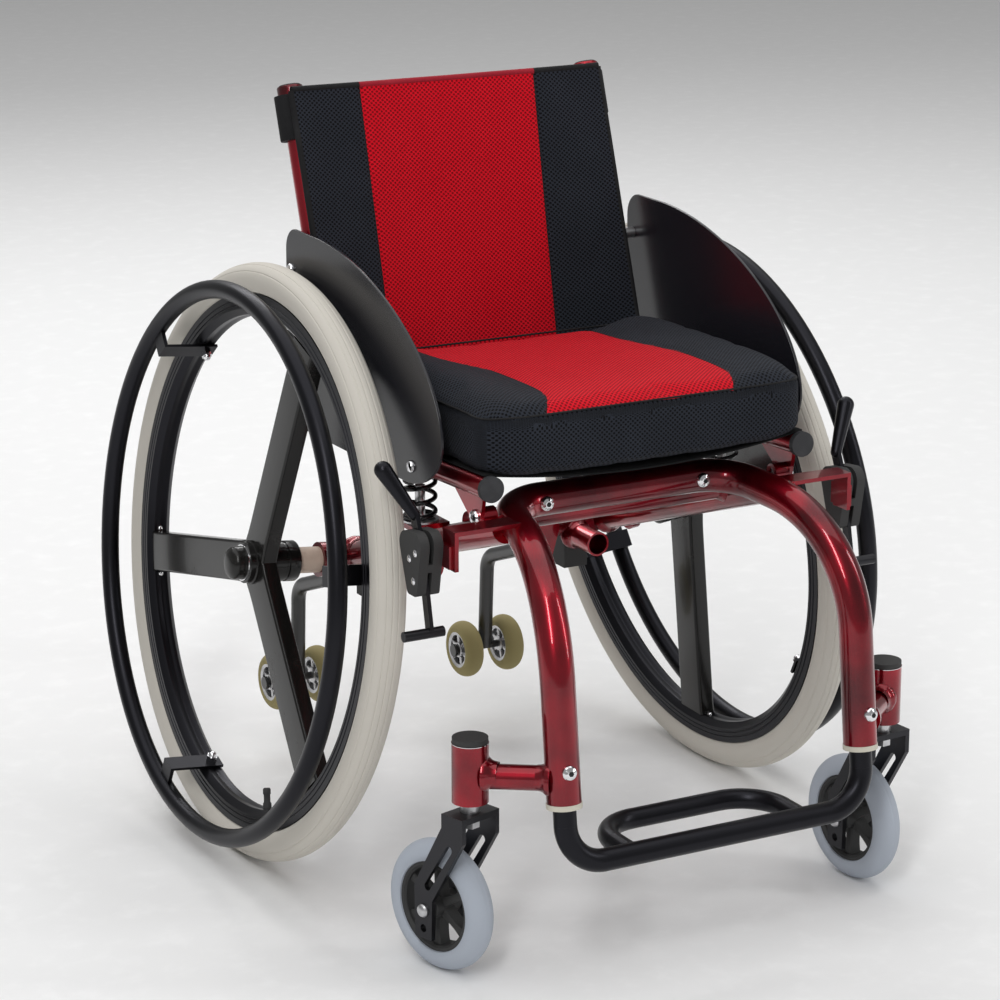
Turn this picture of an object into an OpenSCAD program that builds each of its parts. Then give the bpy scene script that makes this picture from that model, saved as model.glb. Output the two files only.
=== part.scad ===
// Rigid-frame manual wheelchair with a sprung seat, in millimetres.
// The chair faces -Y, its left side is +X, +Z is up and z = 0 is the ground.

/* [Rear wheels] */
// Outer radius of each rear tyre
wheel_r = 305; // [290:1:320]
// Width of each rear tyre
tyre_w = 35; // [30:1:38]
// Lean of each rear wheel in degrees, top inward
camber = 6; // [3:0.5:8]
// Radius where the tyre meets the rim
bead_r = 274; // [262:1:278]
// Inner radius of each rim
rim_inner_r = 252; // [240:1:256]
// Width of each rim
rim_w = 26; // [22:1:28]
// Width of each spoke, along the wheel
spoke_w = 42; // [34:1:46]
// Depth of each spoke, along the axle
spoke_d = 18; // [14:1:20]
// Outer radius of each handrim
handrim_r = 287; // [278:1:292]
// Tube diameter of each handrim
handrim_d = 19; // [16:1:22]
// Distance from the tyre's middle to the handrim's middle
handrim_offset = 48; // [44:1:56]

/* [Seat] */
// Distance from the mid-plane to each seat rail's axis
rail_x = 173; // [163:1:195]
// Diameter of the seat rails and back posts
rail_d = 22; // [19:1:25]
// Height of the seat rails' front ends
rail_front_z = 453; // [440:1:470]
// Distance of the rails' front ends ahead of the rear axle
rail_front = 341; // [320:1:350]
// Backward slope of the seat in degrees
seat_tilt = 2.5; // [1:0.5:4]
// Backward lean of the back posts in degrees
recline = 18.7; // [12:0.1:20]
// Height of the back posts' tops
back_top_z = 768; // [720:1:820]
// Distance of the back posts' tops behind the rear axle
back_top_y = 81; // [75:1:100]
// Thickness of the seat cushion
cushion_t = 50; // [40:1:60]
// Length of the seat cushion
cushion_len = 300; // [280:1:302]
// Thickness of the back upholstery
back_t = 8; // [6:1:12]
// Thickness of the seat sling
sling_t = 3; // [2:0.5:4]
// Thickness of each side guard
guard_t = 3; // [2:0.5:4]
// Gap from each rail to its side guard
guard_gap = 15; // [12:1:20]

/* [Frame] */
// Distance from the mid-plane to each front leg
leg_x = 165; // [155:1:180]
// Outer diameter of the front hoop's tube
hoop_d = 33; // [30:1:35]
// Wall of the front hoop's tube
hoop_wall = 2.5; // [2:0.5:3]
// Height of the lower end of each leg
leg_foot_z = 184; // [178:1:190]
// Distance of the lower end of each leg ahead of the rear axle
leg_foot = 470; // [460:1:480]
// Outer diameter of the side tubes and of the axle tube
tube_d = 28; // [26:1:30]
// Wall of the axle tube and socket tubes
tube_wall = 2; // [1.5:0.5:3]
// Outer diameter of the second cross tube
brace_d = 25; // [20:1:26]
// Distance from the mid-plane to each socket tube
socket_x = 112; // [100:1:118]

/* [Casters] */
// Radius of each caster wheel
caster_r = 64; // [60:1:66]
// Width of each caster tyre
caster_w = 28; // [24:1:30]
// Distance from each leg to its caster's swivel axis
caster_out = 67; // [62:1:75]
// Distance of the swivel axes ahead of the rear axle
caster_ahead = 412; // [405:1:418]
// Trail of each caster wheel behind its swivel axis
trail = 39; // [34:1:44]
// Turn of the right caster at rest in degrees
turn_right = 16; // [0:1:30]
// Turn of the left caster at rest in degrees
turn_left = 5; // [0:1:30]

/* [Footrest] */
// Diameter of the footrest tube
foot_d = 22; // [20:1:24]
// Height of the footrest's front tube
foot_z = 122; // [118:1:126]
// Depth of the footrest's rear loop
foot_loop = 78; // [70:1:90]
// Half width of the footrest's rear loop
foot_loop_x = 95; // [85:1:100]

/* [Anti-tip] */
// Distance from the mid-plane to each anti-tip arm
arm_x = 118; // [105:1:122]
// Diameter of the anti-tip arm's tube
arm_d = 16; // [14:1:18]
// Radius of each anti-tip wheel
roller_r = 32; // [30:1:36]
// Width of each anti-tip wheel
roller_w = 22; // [20:1:24]
// Height of the anti-tip wheels' axle
roller_z = 95; // [85:1:110]

/* [Brakes] */
// Height of each brake lever's pivot
lever_pivot_z = 398; // [394:1:402]
// Length of each brake shoe's arm
shoe_len = 51; // [46:1:53]
// Diameter of each brake shoe's bar
shoe_d = 10; // [8:1:12]

/* [Clearances] */
// Gap between welded pieces that are kept as separate solids
weld_gap = 0.05; // [0.03:0.01:0.1]
// Radial running clearance of shafts in their bores
run_gap = 0.05; // [0.02:0.01:0.1]
// Gap between a soft or moving piece and its seat
seat_gap = 0.3; // [0.2:0.1:0.5]
// Gap from each side guard to the tyre's top
guard_clear = 6; // [5:1:10]

/* [Hidden] */

// Finish colours of the nodes
red = [0.55, 0.03, 0.07];
black = [0.06, 0.06, 0.07];
steel = [0.8, 0.8, 0.82];
left = 1;
right = -1;

// Rear wheel: derived sizes
tyre_rt = tyre_w / 2;
guard_in = rail_x + rail_d / 2 + guard_gap;
guard_out = guard_in + guard_t;
track_half = guard_out + guard_clear + tyre_rt + (wheel_r - tyre_rt) * sin(camber);
hub_z = (wheel_r - tyre_rt) * cos(camber) + tyre_rt;
hub_half = 18;
hub_r = 21;
axle_pin_r = 6.35;
// Places along the wheel's axle, from the tyre's middle outwards
cup_in = -40;
sleeve_in = -74;
sleeve_out = cup_in - 1.5;
sleeve_r = 13.5;
tab_w = 20;
tab_t = 3;
// A flat tab lies this far inside the round rim so that its edges clear it
tab_drop = tab_w * tab_w / 8 / rim_inner_r + weld_gap + 0.02;
// Spoke angles at rest, from straight down towards the rear
spin_left = 2;
spin_right = 78;

// The whole chair is shifted so that its origin is under the middle of its box
collar_r = hoop_d / 2 + 0.5;
origin_y = (leg_foot + collar_r - wheel_r) / 2;

// Front hoop: corners of its centreline and bend radii
leg_lean = 6.7;
leg_top_z = 396;
crossbar_z = 417;
crossbar_y = -283;
leg_dir = [0, sin(leg_lean), cos(leg_lean)];
leg_top_y = -leg_foot + (leg_top_z - leg_foot_z) * tan(leg_lean);
hoop_corner_x = leg_x - 39;
hoop_half = [
  [leg_x, -leg_foot, leg_foot_z],
  [leg_x, leg_top_y, leg_top_z],
  [hoop_corner_x, crossbar_y, crossbar_z]
];
hoop_path = [
  hoop_half[0], hoop_half[1], hoop_half[2],
  mirrored(hoop_half[2]), mirrored(hoop_half[1]), mirrored(hoop_half[0])
];
hoop_bends = [130, 50, 50, 130];

// Axle tube and side tubes
axle_half = track_half - 74;
axle_z = hub_z - (track_half - axle_half) * tan(camber);
side_x = leg_x - 15;
side_front = [side_x, -330, 408];
side_rear = [side_x, 0, axle_z];
side_dir = unit(side_rear - side_front);

// Seat: the pivot, the springs and the seat's own plane
pivot_y = -318;
pivot_z = 420;
pivot_r = 4;
boss_r = 9;
gusset_t = 4;
gusset_in = rail_x - gusset_t / 2;
spring_y = -200;
spring_top = rail_front_z - (rail_front + spring_y) * tan(seat_tilt) - rail_d / 2 - 5;
spring_seat_z = 387;
spring_r = 15;
spring_wire = 5;
spring_turns = 2.75;
rail_len = post_foot_y() + rail_front;

// Caster and footrest places
caster_x = leg_x + caster_out;
head_top = 236;
head_foot = 178;
head_r = 17.5;
stem_r = 6;
crown_z = 168;
fork_gap = caster_w / 2 + 5;
fork_t = 5;
insert_len = 85;

// Anti-tip arm: corners of its centreline
roller_y = 206;
roller_gap = arm_d / 2 + 7;
roller_mid = roller_gap + roller_w / 2;
arm_path = [
  [arm_x, 24, 258],
  [arm_x, 52, 258],
  [arm_x, 200, 203],
  [arm_x, roller_y, roller_z]
];

// Distance from the mid-plane to the crossbar's bolts
bolt_x = 88;

// Brake places
brake_x = track_half - 19;
brake_y = -326;
lever_pivot = [brake_x, brake_y, lever_pivot_z];
shoe_pivot = [brake_x, brake_y - 5, lever_pivot_z - 26];
blade_t = 4;
housing_w = 24;
brake_pin_r = 3;

// Helpers: vectors, straight and bent tubes
function unit(v) = v / norm(v);
function mirrored(p) = [-p[0], p[1], p[2]];
function side_of(z) = abs(z[0]) < 0.9 ? unit(cross(z, [1, 0, 0])) : unit(cross(z, [0, 1, 0]));
function turn(a, b, c) = acos(unit(b - a) * unit(c - b));
function reach(a, b, c, r) = r * tan(turn(a, b, c) / 2);
function post_foot_y() = back_top_y - (back_top_z - rail_front_z + 10) * tan(recline);

// Moves a shape's own x, y and z axes onto the three given directions
module aligned(x, y, z) {
  multmatrix([
    [x[0], y[0], z[0], 0],
    [x[1], y[1], z[1], 0],
    [x[2], y[2], z[2], 0],
    [0, 0, 0, 1]
  ]) children();
}

// A round bar from a to b
module along(a, b, r) {
  z = unit(b - a);
  x = side_of(z);
  translate(a) aligned(x, cross(z, x), z) rotate([0, 0, seam_turn]) cylinder(h = norm(b - a), r = r, $fn = 64);
}

// The round bend at corner b between the legs a-b and b-c
module bend(a, b, c, r, tube_r) {
  u = unit(b - a);
  out = unit(cross(u, cross(u, unit(c - b))));
  start = b - u * reach(a, b, c, r);
  translate(start - out * r) aligned(out, u, cross(out, u))
    rotate_extrude(angle = turn(a, b, c), $fn = 96)
      translate([r, 0]) circle(r = tube_r + bend_step, $fn = 64);
}

// A bend is this much fatter than its straights, which lap into it by lap
bend_step = 0.08;
lap = 1;

// Each straight is turned about its own axis so that its seam misses the bends' seams
seam_turn = 65;

// A round bar along the corners p with bend radii r, longer at both ends by extra
module bent_bar(p, r, tube_r, extra = 0) {
  last = len(p) - 1;
  for (i = [0 : last - 1]) {
    d = unit(p[i + 1] - p[i]);
    from = i == 0 ? p[0] - d * extra : p[i] + d * (reach(p[i - 1], p[i], p[i + 1], r[i - 1]) - lap);
    to = i == last - 1 ? p[last] + d * extra : p[i + 1] - d * (reach(p[i], p[i + 1], p[i + 2], r[i]) - lap);
    along(from, to, tube_r);
  }
  for (i = [1 : last - 1]) bend(p[i - 1], p[i], p[i + 1], r[i - 1], tube_r);
}

// Places a child on one side of the chair, in the chair's own frame
module on_side(side) {
  translate([0, origin_y, 0]) mirror([side < 0 ? 1 : 0, 0, 0]) children();
}

module on_both() {
  on_side(left) children();
  on_side(right) children();
}

// A wheel's frame: z outwards along the axle, x down, y to the rear
module wheel_frame() {
  translate([track_half, 0, hub_z]) rotate([0, 90 - camber, 0]) children();
}

// The seat's frame: origin at a rail's front end, y along the rail
module seat_frame() {
  translate([0, -rail_front, rail_front_z]) rotate([-seat_tilt, 0, 0]) children();
}

// The back's frame: origin at the middle of the posts' tops, z up along the posts
module back_frame() {
  translate([0, back_top_y, back_top_z]) rotate([-recline, 0, 0]) children();
}

module across(x0, x1, r) {
  translate([x0, 0, 0]) rotate([0, 90, 0]) cylinder(h = x1 - x0, r = r, $fn = 48);
}

// ---- frame ----

module hoop_bar(grow = 0) {
  bent_bar(hoop_path, hoop_bends, hoop_d / 2 + grow);
}

module front_hoop() {
  color(red) translate([0, origin_y, 0]) difference() {
    hoop_bar();
    bent_bar(hoop_path, hoop_bends, hoop_d / 2 - hoop_wall, 2);
  }
}

module axle_bar(grow = 0) {
  translate([0, 0, axle_z]) across(-axle_half, axle_half, tube_d / 2 + grow);
}

module side_tube() {
  difference() {
    union() {
      along(side_front, side_rear, tube_d / 2);
      // Lug and boss that carry the seat's pivot
      translate([0, pivot_y, pivot_z]) across(side_x + 6, gusset_in - seat_gap, boss_r);
      translate([side_x + 6, pivot_y - boss_r, side_front[2] - 8]) cube([6, 2 * boss_r, pivot_z - side_front[2] + 8]);
      // Shelf that carries the seat spring
      translate([side_x, spring_y - 15, spring_seat_z - 24]) cube([6, 30, 20]);
      translate([side_x, spring_y - 18, spring_seat_z - 5]) cube([rail_x - side_x + 18, 36, 5]);
    }
    hoop_bar(weld_gap);
    axle_bar(weld_gap);
    translate([0, pivot_y, pivot_z]) across(side_x, rail_x, pivot_r + run_gap);
  }
}

module side_tubes() {
  color(red) on_both() side_tube();
}

module rear_cross_tube() {
  color(red) translate([0, origin_y, 0]) difference() {
    translate([0, crossbar_y + 27, crossbar_z - 23]) across(-side_x, side_x, brace_d / 2);
    for (s = [left, right])
      mirror([s < 0 ? 1 : 0, 0, 0]) along(side_front - 40 * side_dir, side_rear, tube_d / 2 + weld_gap);
    hoop_bar(weld_gap);
  }
}

module axle_tube() {
  flange_w = 9;
  color(red) translate([0, origin_y, 0]) difference() {
    union() {
      axle_bar();
      for (s = [left, right])
        mirror([s < 0 ? 1 : 0, 0, 0]) wheel_frame() translate([0, 0, sleeve_in - 2]) cylinder(h = flange_w, r = 18, $fn = 64);
    }
    translate([0, 0, axle_z]) across(-axle_half - 9, axle_half + 9, tube_d / 2 - tube_wall);
    for (s = [left, right])
      mirror([s < 0 ? 1 : 0, 0, 0]) wheel_frame() translate([0, 0, sleeve_in]) cylinder(h = 30, r = sleeve_r + weld_gap, $fn = 64);
  }
}

module socket_tubes() {
  socket_z = axle_z - 11;
  color(red) on_both() difference() {
    translate([socket_x, -57, socket_z]) rotate([-90, 0, 0]) cylinder(h = 57, r = tube_d / 2 - 1, $fn = 64);
    translate([socket_x, -59, socket_z]) rotate([-90, 0, 0]) cylinder(h = 45, r = tube_d / 2 - 1 - tube_wall, $fn = 64);
    axle_bar(weld_gap);
  }
}

module axle_plates() {
  color(red) on_both() difference() {
    translate([66, -14, axle_z]) rotate([90, 0, 0]) linear_extrude(height = 6) hull() {
      translate([-20, 0]) square([40, 10]);
      translate([0, -22]) circle(r = 13, $fn = 32);
    }
    axle_bar(weld_gap);
  }
  color(red) on_both() difference() {
    translate([60, -16, axle_z - 22]) cube([12, 20, 18]);
    axle_bar(weld_gap);
    translate([50, -40, 0]) cube([40, 26.1, 400]);
  }
}

module axle_sleeves() {
  color([0.82, 0.76, 0.68]) on_both() wheel_frame() difference() {
    translate([0, 0, sleeve_in + weld_gap]) cylinder(h = sleeve_out - sleeve_in, r = sleeve_r, $fn = 64);
    translate([0, 0, sleeve_in - 1]) cylinder(h = 60, r = axle_pin_r + run_gap, $fn = 48);
  }
}

module axle_pins() {
  color(steel) on_both() wheel_frame() {
    translate([0, 0, sleeve_in - 24]) cylinder(h = 24 - sleeve_in + hub_half + 10, r = axle_pin_r, $fn = 48);
    translate([0, 0, hub_half + 10]) cylinder(h = 5, r = 9, $fn = 48);
  }
}

module head_tube() {
  stub_z = 203;
  difference() {
    union() {
      translate([caster_x, -caster_ahead, head_foot]) cylinder(h = head_top - head_foot, r = head_r, $fn = 64);
      along([leg_x, -leg_foot + (stub_z - leg_foot_z) * tan(leg_lean), stub_z + 3], [caster_x, -caster_ahead, stub_z], 12);
    }
    hoop_bar(weld_gap);
    translate([caster_x, -caster_ahead, head_foot - 1]) cylinder(h = head_top, r = stem_r + run_gap, $fn = 48);
    translate([leg_x - 40, -leg_foot - 30, 150]) cube([40, 90, 100]);
  }
}

module head_tube_left() {
  color(red) on_side(left) head_tube();
}

module head_tube_right() {
  color(red) on_side(right) head_tube();
}

module head_caps() {
  color(black) on_both() translate([caster_x, -caster_ahead, head_top + weld_gap]) cylinder(h = 5, r = head_r - 0.5, $fn = 64);
}

// The leg's own frame: origin at the leg's lower end, z up along the leg
module leg_frame() {
  translate(hoop_path[0]) rotate([-leg_lean, 0, 0]) children();
}

module leg_collars() {
  color([0.88, 0.86, 0.8]) on_both() leg_frame() difference() {
    union() {
      translate([0, 0, -5 - weld_gap]) cylinder(h = 5, r = collar_r, $fn = 64);
      translate([0, 0, -1]) cylinder(h = 26, r = hoop_d / 2 - hoop_wall - weld_gap, $fn = 64);
    }
    translate([0, 0, -8]) cylinder(h = 40, r = foot_d / 2 + run_gap, $fn = 64);
  }
}

module button_head(r) {
  rotate_extrude($fn = 48) polygon([[0, 0], [r, 0], [r, r * 0.2], [r * 0.85, r * 0.45], [r * 0.5, r * 0.65], [0, r * 0.7]]);
}

module frame_bolts() {
  bolt_r = 7;
  color(steel) translate([0, origin_y, 0]) difference() {
    for (s = [left, right]) mirror([s < 0 ? 1 : 0, 0, 0]) {
      translate([bolt_x, crossbar_y - hoop_d / 2 + 1, crossbar_z]) rotate([90, 0, 0]) bolt_with_seat(bolt_r);
      leg_frame() rotate([0, 0, 7]) translate([0, 1 - hoop_d / 2, 31]) rotate([90, 0, 0]) bolt_with_seat(bolt_r);
    }
    hoop_bar(weld_gap);
  }
}

// A button head on a short round seat that is trimmed to the tube behind it
module bolt_with_seat(r) {
  translate([0, 0, -2]) cylinder(h = 3.5, r = r, $fn = 48);
  translate([0, 0, 1.4]) button_head(r);
}

module pivot_bolts() {
  color(steel) on_both() translate([0, pivot_y, pivot_z]) {
    across(side_x + 7, gusset_in + gusset_t + seat_gap + 1, pivot_r);
    translate([gusset_in + gusset_t + seat_gap, 0, 0]) rotate([0, 90, 0]) button_head(7.5);
  }
}

// ---- anti-tip arms ----

module anti_tip_arm() {
  difference() {
    bent_bar(arm_path, [22, 24], arm_d / 2);
    translate([0, roller_y, roller_z]) across(arm_x - 20, arm_x + 20, 4 + run_gap);
  }
  // Axle bolt with a spacer and a head on each side
  translate([0, roller_y, roller_z]) {
    across(arm_x - roller_mid - roller_w / 2 - 3, arm_x + roller_mid + roller_w / 2 + 3, 4);
    for (s = [left, right])
      translate([arm_x + s * (roller_mid + roller_w / 2 + 2.5), 0, 0]) across(-1.9, 1.9, 7);
  }
}

module anti_tip_arm_left() {
  color([0.17, 0.17, 0.17]) on_side(left) anti_tip_arm();
}

module anti_tip_arm_right() {
  color([0.17, 0.17, 0.17]) on_side(right) anti_tip_arm();
}

module anti_tip_clamps() {
  color(black) on_both() difference() {
    union() {
      translate([arm_x - 14, 0.3, 244]) cube([28, 26, axle_z - 246]);
      translate([arm_x, 20, 258]) rotate([-90, 0, 0]) cylinder(h = 30, r = 13, $fn = 64);
    }
    axle_bar(weld_gap);
    translate([arm_x, 24 - weld_gap, 258]) rotate([-90, 0, 0]) cylinder(h = 40, r = arm_d / 2 + bend_step + weld_gap, $fn = 48);
    translate([0, 46, 0]) cube([400, 40, 600]);
  }
}

module anti_tip_wheel(place) {
  half = roller_w / 2;
  bore = 4 + run_gap;
  translate([arm_x + place * roller_mid, roller_y, roller_z]) rotate([0, 90, 0])
    rotate_extrude($fn = 96) polygon([
      [bore, 1 - half], [9, 1 - half], [12, 4 - half], [roller_r - 10, 3 - half], [roller_r - 6, -half],
      [roller_r - 1, -half / 2], [roller_r, 0], [roller_r - 1, half / 2], [roller_r - 6, half],
      [roller_r - 10, half - 3], [12, half - 4], [9, half - 1], [bore, half - 1]
    ]);
}

module anti_tip_wheel_left_inner() {
  color([0.6, 0.55, 0.35]) on_side(left) anti_tip_wheel(-1);
}

module anti_tip_wheel_left_outer() {
  color([0.6, 0.55, 0.35]) on_side(left) anti_tip_wheel(1);
}

module anti_tip_wheel_right_inner() {
  color([0.6, 0.55, 0.35]) on_side(right) anti_tip_wheel(-1);
}

module anti_tip_wheel_right_outer() {
  color([0.6, 0.55, 0.35]) on_side(right) anti_tip_wheel(1);
}

// ---- brakes ----

bracket_y = -362;
bracket_w = 24;
bracket_z = 418;
bracket_out = brake_x - housing_w / 2 - 8;

module brake_bracket() {
  difference() {
    union() {
      translate([leg_x - 25, bracket_y, bracket_z]) cube([bracket_out - leg_x + 29, bracket_w, 4]);
      translate([bracket_out, bracket_y, bracket_z - 34]) cube([4, bracket_w, 38]);
      translate([bracket_out, bracket_y + 4, bracket_z - 32]) cube([8 - weld_gap, bracket_w, 22]);
    }
    hoop_bar(weld_gap);
    translate([leg_x - 60, bracket_y - 1, bracket_z - 1]) cube([41, bracket_w + 2, 6]);
  }
}

module brake_bracket_left() {
  color(red) on_side(left) brake_bracket();
}

module brake_bracket_right() {
  color(red) on_side(right) brake_bracket();
}

module brake_housing() {
  half = housing_w / 2;
  slot = blade_t / 2 + seat_gap;
  difference() {
    translate([brake_x - half, 0, 0]) rotate([90, 0, 90]) linear_extrude(height = housing_w) hull() {
      translate([brake_y - 8, lever_pivot_z + 8]) circle(r = 13, $fn = 32);
      translate([brake_y + 9, lever_pivot_z + 6]) circle(r = 13, $fn = 32);
      translate([brake_y - 8, lever_pivot_z - 36]) circle(r = 5, $fn = 32);
      translate([brake_y + 3, lever_pivot_z - 36]) circle(r = 5, $fn = 32);
    }
    // Slots for the lever above and for the shoe's arm below, with a web between
    translate([brake_x - slot, brake_y - 40, lever_pivot_z - 9]) cube([2 * slot, 80, 60]);
    translate([brake_x - slot, brake_y - 40, lever_pivot_z - 60]) cube([2 * slot, 80, 43]);
  }
  translate([0, lever_pivot[1], lever_pivot[2]]) across(brake_x - half + 2, brake_x + half - 2, brake_pin_r);
  translate([0, shoe_pivot[1], shoe_pivot[2]]) across(brake_x - half + 2, brake_x + half - 2, brake_pin_r);
}

module brake_housing_left() {
  color(black) on_side(left) brake_housing();
}

module brake_housing_right() {
  color(black) on_side(right) brake_housing();
}

module brake_lever() {
  lean = 24;
  blade = 34;
  translate([brake_x, lever_pivot[1], lever_pivot[2]]) rotate([-lean, 0, 0]) difference() {
    union() {
      translate([-blade_t / 2, 0, 0]) rotate([0, 90, 0]) cylinder(h = blade_t, r = 7, $fn = 48);
      translate([-blade_t / 2, -6, 0]) cube([blade_t, 12, blade]);
      // Tapered grip with a ball end, splayed outwards
      hull() {
        translate([0, 0, blade]) sphere(r = 5.5, $fn = 32);
        translate([23, 0, blade + 46]) sphere(r = 8.5, $fn = 32);
      }
    }
    rotate([0, 90, 0]) cylinder(h = 20, r = brake_pin_r + run_gap, center = true, $fn = 48);
  }
}

module brake_lever_left() {
  color(black) on_side(left) brake_lever();
}

module brake_lever_right() {
  color(black) on_side(right) brake_lever();
}

module brake_shoe() {
  drop = 12.4;
  translate([brake_x, shoe_pivot[1], shoe_pivot[2]]) rotate([-drop, 0, 0]) difference() {
    union() {
      translate([-blade_t / 2, 0, 0]) rotate([0, 90, 0]) cylinder(h = blade_t, r = 6, $fn = 48);
      translate([-blade_t / 2, -5, -shoe_len]) cube([blade_t, 10, shoe_len]);
      translate([0, 0, -shoe_len]) across(-14, 28, shoe_d / 2);
    }
    rotate([0, 90, 0]) cylinder(h = 20, r = brake_pin_r + run_gap, center = true, $fn = 48);
  }
}

module brake_shoe_left() {
  color(black) on_side(left) brake_shoe();
}

module brake_shoe_right() {
  color(black) on_side(right) brake_shoe();
}

// ---- footrest ----

foot_y = -leg_foot - (leg_foot_z - foot_z) * tan(leg_lean);
foot_top = hoop_path[0] + leg_dir * insert_len;
foot_path = [foot_top, [leg_x, foot_y, foot_z], [-leg_x, foot_y, foot_z], mirrored(foot_top)];
loop_path = [
  [foot_loop_x, foot_y, foot_z],
  [foot_loop_x, foot_y + foot_loop, foot_z],
  [-foot_loop_x, foot_y + foot_loop, foot_z],
  [-foot_loop_x, foot_y, foot_z]
];

module footrest() {
  color(black) translate([0, origin_y, 0]) {
    bent_bar(foot_path, [40, 40], foot_d / 2);
    difference() {
      bent_bar(loop_path, [45, 45], foot_d / 2 - 1);
      translate([-foot_loop_x - 20, foot_y - 40, foot_z - 30]) cube([2 * foot_loop_x + 40, 40, 60]);
    }
  }
}

// ---- seat ----

module post_bar(grow = 0, extra = 0) {
  post_len = (back_top_z - rail_front_z + 25) / cos(recline);
  back_frame() translate([rail_x, 0, -post_len - extra]) cylinder(h = post_len + extra, r = rail_d / 2 + grow, $fn = 64);
}

module seat_rail() {
  difference() {
    union() {
      seat_frame() translate([rail_x, 0, 0]) rotate([-90, 0, 0]) cylinder(h = rail_len, r = rail_d / 2, $fn = 64);
      // Triangular gusset that carries the pivot bolt
      translate([gusset_in, 0, 0]) rotate([90, 0, 90]) linear_extrude(height = gusset_t) hull() {
        translate([pivot_y, pivot_z]) circle(r = boss_r, $fn = 32);
        translate([pivot_y - 14, rail_front_z - rail_d / 2]) square([60, 3]);
      }
      // Upper spring cup
      translate([rail_x, spring_y, spring_top]) cylinder(h = 9, r = 10, $fn = 48);
    }
    post_bar(weld_gap, 20);
    translate([0, pivot_y, pivot_z]) across(gusset_in - 5, gusset_in + gusset_t + 5, pivot_r + run_gap);
  }
}

module seat_rails() {
  color(red) on_both() seat_rail();
}

module rail_caps() {
  color([0.2, 0.2, 0.21]) on_both() seat_frame() translate([rail_x, -weld_gap, 0]) rotate([90, 0, 0]) cylinder(h = 6, r = rail_d / 2 + 1.5, $fn = 64);
}

module back_posts() {
  color(red) on_both() post_bar();
}

module post_caps() {
  color(black) on_both() back_frame() translate([rail_x, 0, weld_gap]) cylinder(h = 6, r = rail_d / 2 + 0.5, $fn = 64);
}

// Outline of a side guard, y to the right and z up, in the chair's own frame
module guard_outline() {
  low = rail_front_z - 24;
  intersection() {
    translate([-12, 358]) circle(r = 278, $fn = 120);
    union() {
      translate([-255, low]) square([300, 260]);
      translate([-262, low + 22]) circle(r = 22, $fn = 48);
      translate([-284, low + 22]) square([60, 200]);
    }
    translate([-330, 0]) square([365, 900]);
  }
}

module side_guard() {
  difference() {
    translate([guard_in, 0, 0]) rotate([90, 0, 90]) linear_extrude(height = guard_t) guard_outline();
    translate([0, -239, rail_front_z + 1]) across(guard_in - 5, guard_out + 5, 3.1);
  }
  // Front screw with its spacer, and the rear clip on the post
  translate([0, -239, rail_front_z]) {
    across(rail_x + rail_d / 2 + 0.3, guard_in - 0.3, 6);
    translate([0, 0, 1]) across(guard_in - 1, guard_out + 0.5, 3);
    translate([guard_out + 0.4, 0, 1]) across(0, 2.5, 6);
  }
  translate([0, 24, 598]) across(rail_x + rail_d / 2 - 1.5, guard_in + 0.5, 5);
}

module side_guard_left() {
  color(black) on_side(left) difference() {
    side_guard();
    post_bar(weld_gap, 20);
  }
}

module side_guard_right() {
  color(black) on_side(right) difference() {
    side_guard();
    post_bar(weld_gap, 20);
  }
}

module seat_sling() {
  color([0.1, 0.1, 0.11]) translate([0, origin_y, 0]) seat_frame()
    translate([-rail_x - 4, 12, rail_d / 2 + seat_gap]) cube([2 * rail_x + 8, cushion_len - 16, sling_t]);
}

module cushion() {
  half = rail_x + 6;
  corner = 30;
  color([0.12, 0.12, 0.14]) translate([0, origin_y, 0]) seat_frame()
    translate([0, -8, rail_d / 2 + 2 * seat_gap + sling_t]) linear_extrude(height = cushion_t) hull() {
      for (s = [left, right]) {
        translate([s * (half - corner), corner]) circle(r = corner, $fn = 64);
        translate([s * (half - 12), cushion_len - 12]) circle(r = 12, $fn = 64);
      }
    }
}

module back_upholstery() {
  half = rail_x + rail_d / 2 + 1;
  drop = (back_top_z - rail_front_z - 18) / cos(recline);
  color([0.7, 0.04, 0.08]) translate([0, origin_y, 0]) back_frame()
    translate([-half, -rail_d / 2 - seat_gap - back_t, -drop]) cube([2 * half, back_t, drop - 1]);
}

// ---- seat springs ----

// Points of the helix and of the wire's section around it, ring by ring
module coil(r, wire_r, z0, z1, turns) {
  rings = 66;
  sides = 8;
  points = [
    for (i = [0 : rings], k = [0 : sides - 1])
      let (a = 360 * turns * i / rings, w = 360 * k / sides, q = r + wire_r * cos(w))
        [q * cos(a), q * sin(a), z0 + wire_r + (z1 - z0 - 2 * wire_r) * i / rings + wire_r * sin(w)]
  ];
  walls = [
    for (i = [0 : rings - 1], k = [0 : sides - 1])
      let (a = i * sides + k, b = i * sides + (k + 1) % sides)
        [a, b, b + sides, a + sides]
  ];
  ends = [[for (k = [sides - 1 : -1 : 0]) k], [for (k = [0 : sides - 1]) rings * sides + k]];
  polyhedron(points = points, faces = concat(walls, ends), convexity = 10);
}

module spring_left() {
  color(black) on_side(left) seat_spring();
}

module spring_right() {
  color(black) on_side(right) seat_spring();
}

module seat_spring() {
  translate([rail_x, spring_y, 0])
    coil(spring_r, spring_wire / 2, spring_seat_z + 2 + seat_gap, spring_top - seat_gap, spring_turns);
}

module spring_rods() {
  rod_gap = 8;
  color(steel) on_both() translate([rail_x, spring_y, spring_seat_z + weld_gap]) {
    cylinder(h = spring_top - rod_gap - spring_seat_z, r = 5, $fn = 48);
    cylinder(h = 2 - weld_gap, r = spring_r + 3, $fn = 64);
  }
}

// ---- casters ----

// The caster's frame: origin on the ground under the swivel, turned to its rest angle
module caster_frame(side) {
  on_side(side) translate([caster_x, -caster_ahead, 0]) rotate([0, 0, side > 0 ? turn_left : -turn_right]) children();
}

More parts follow.
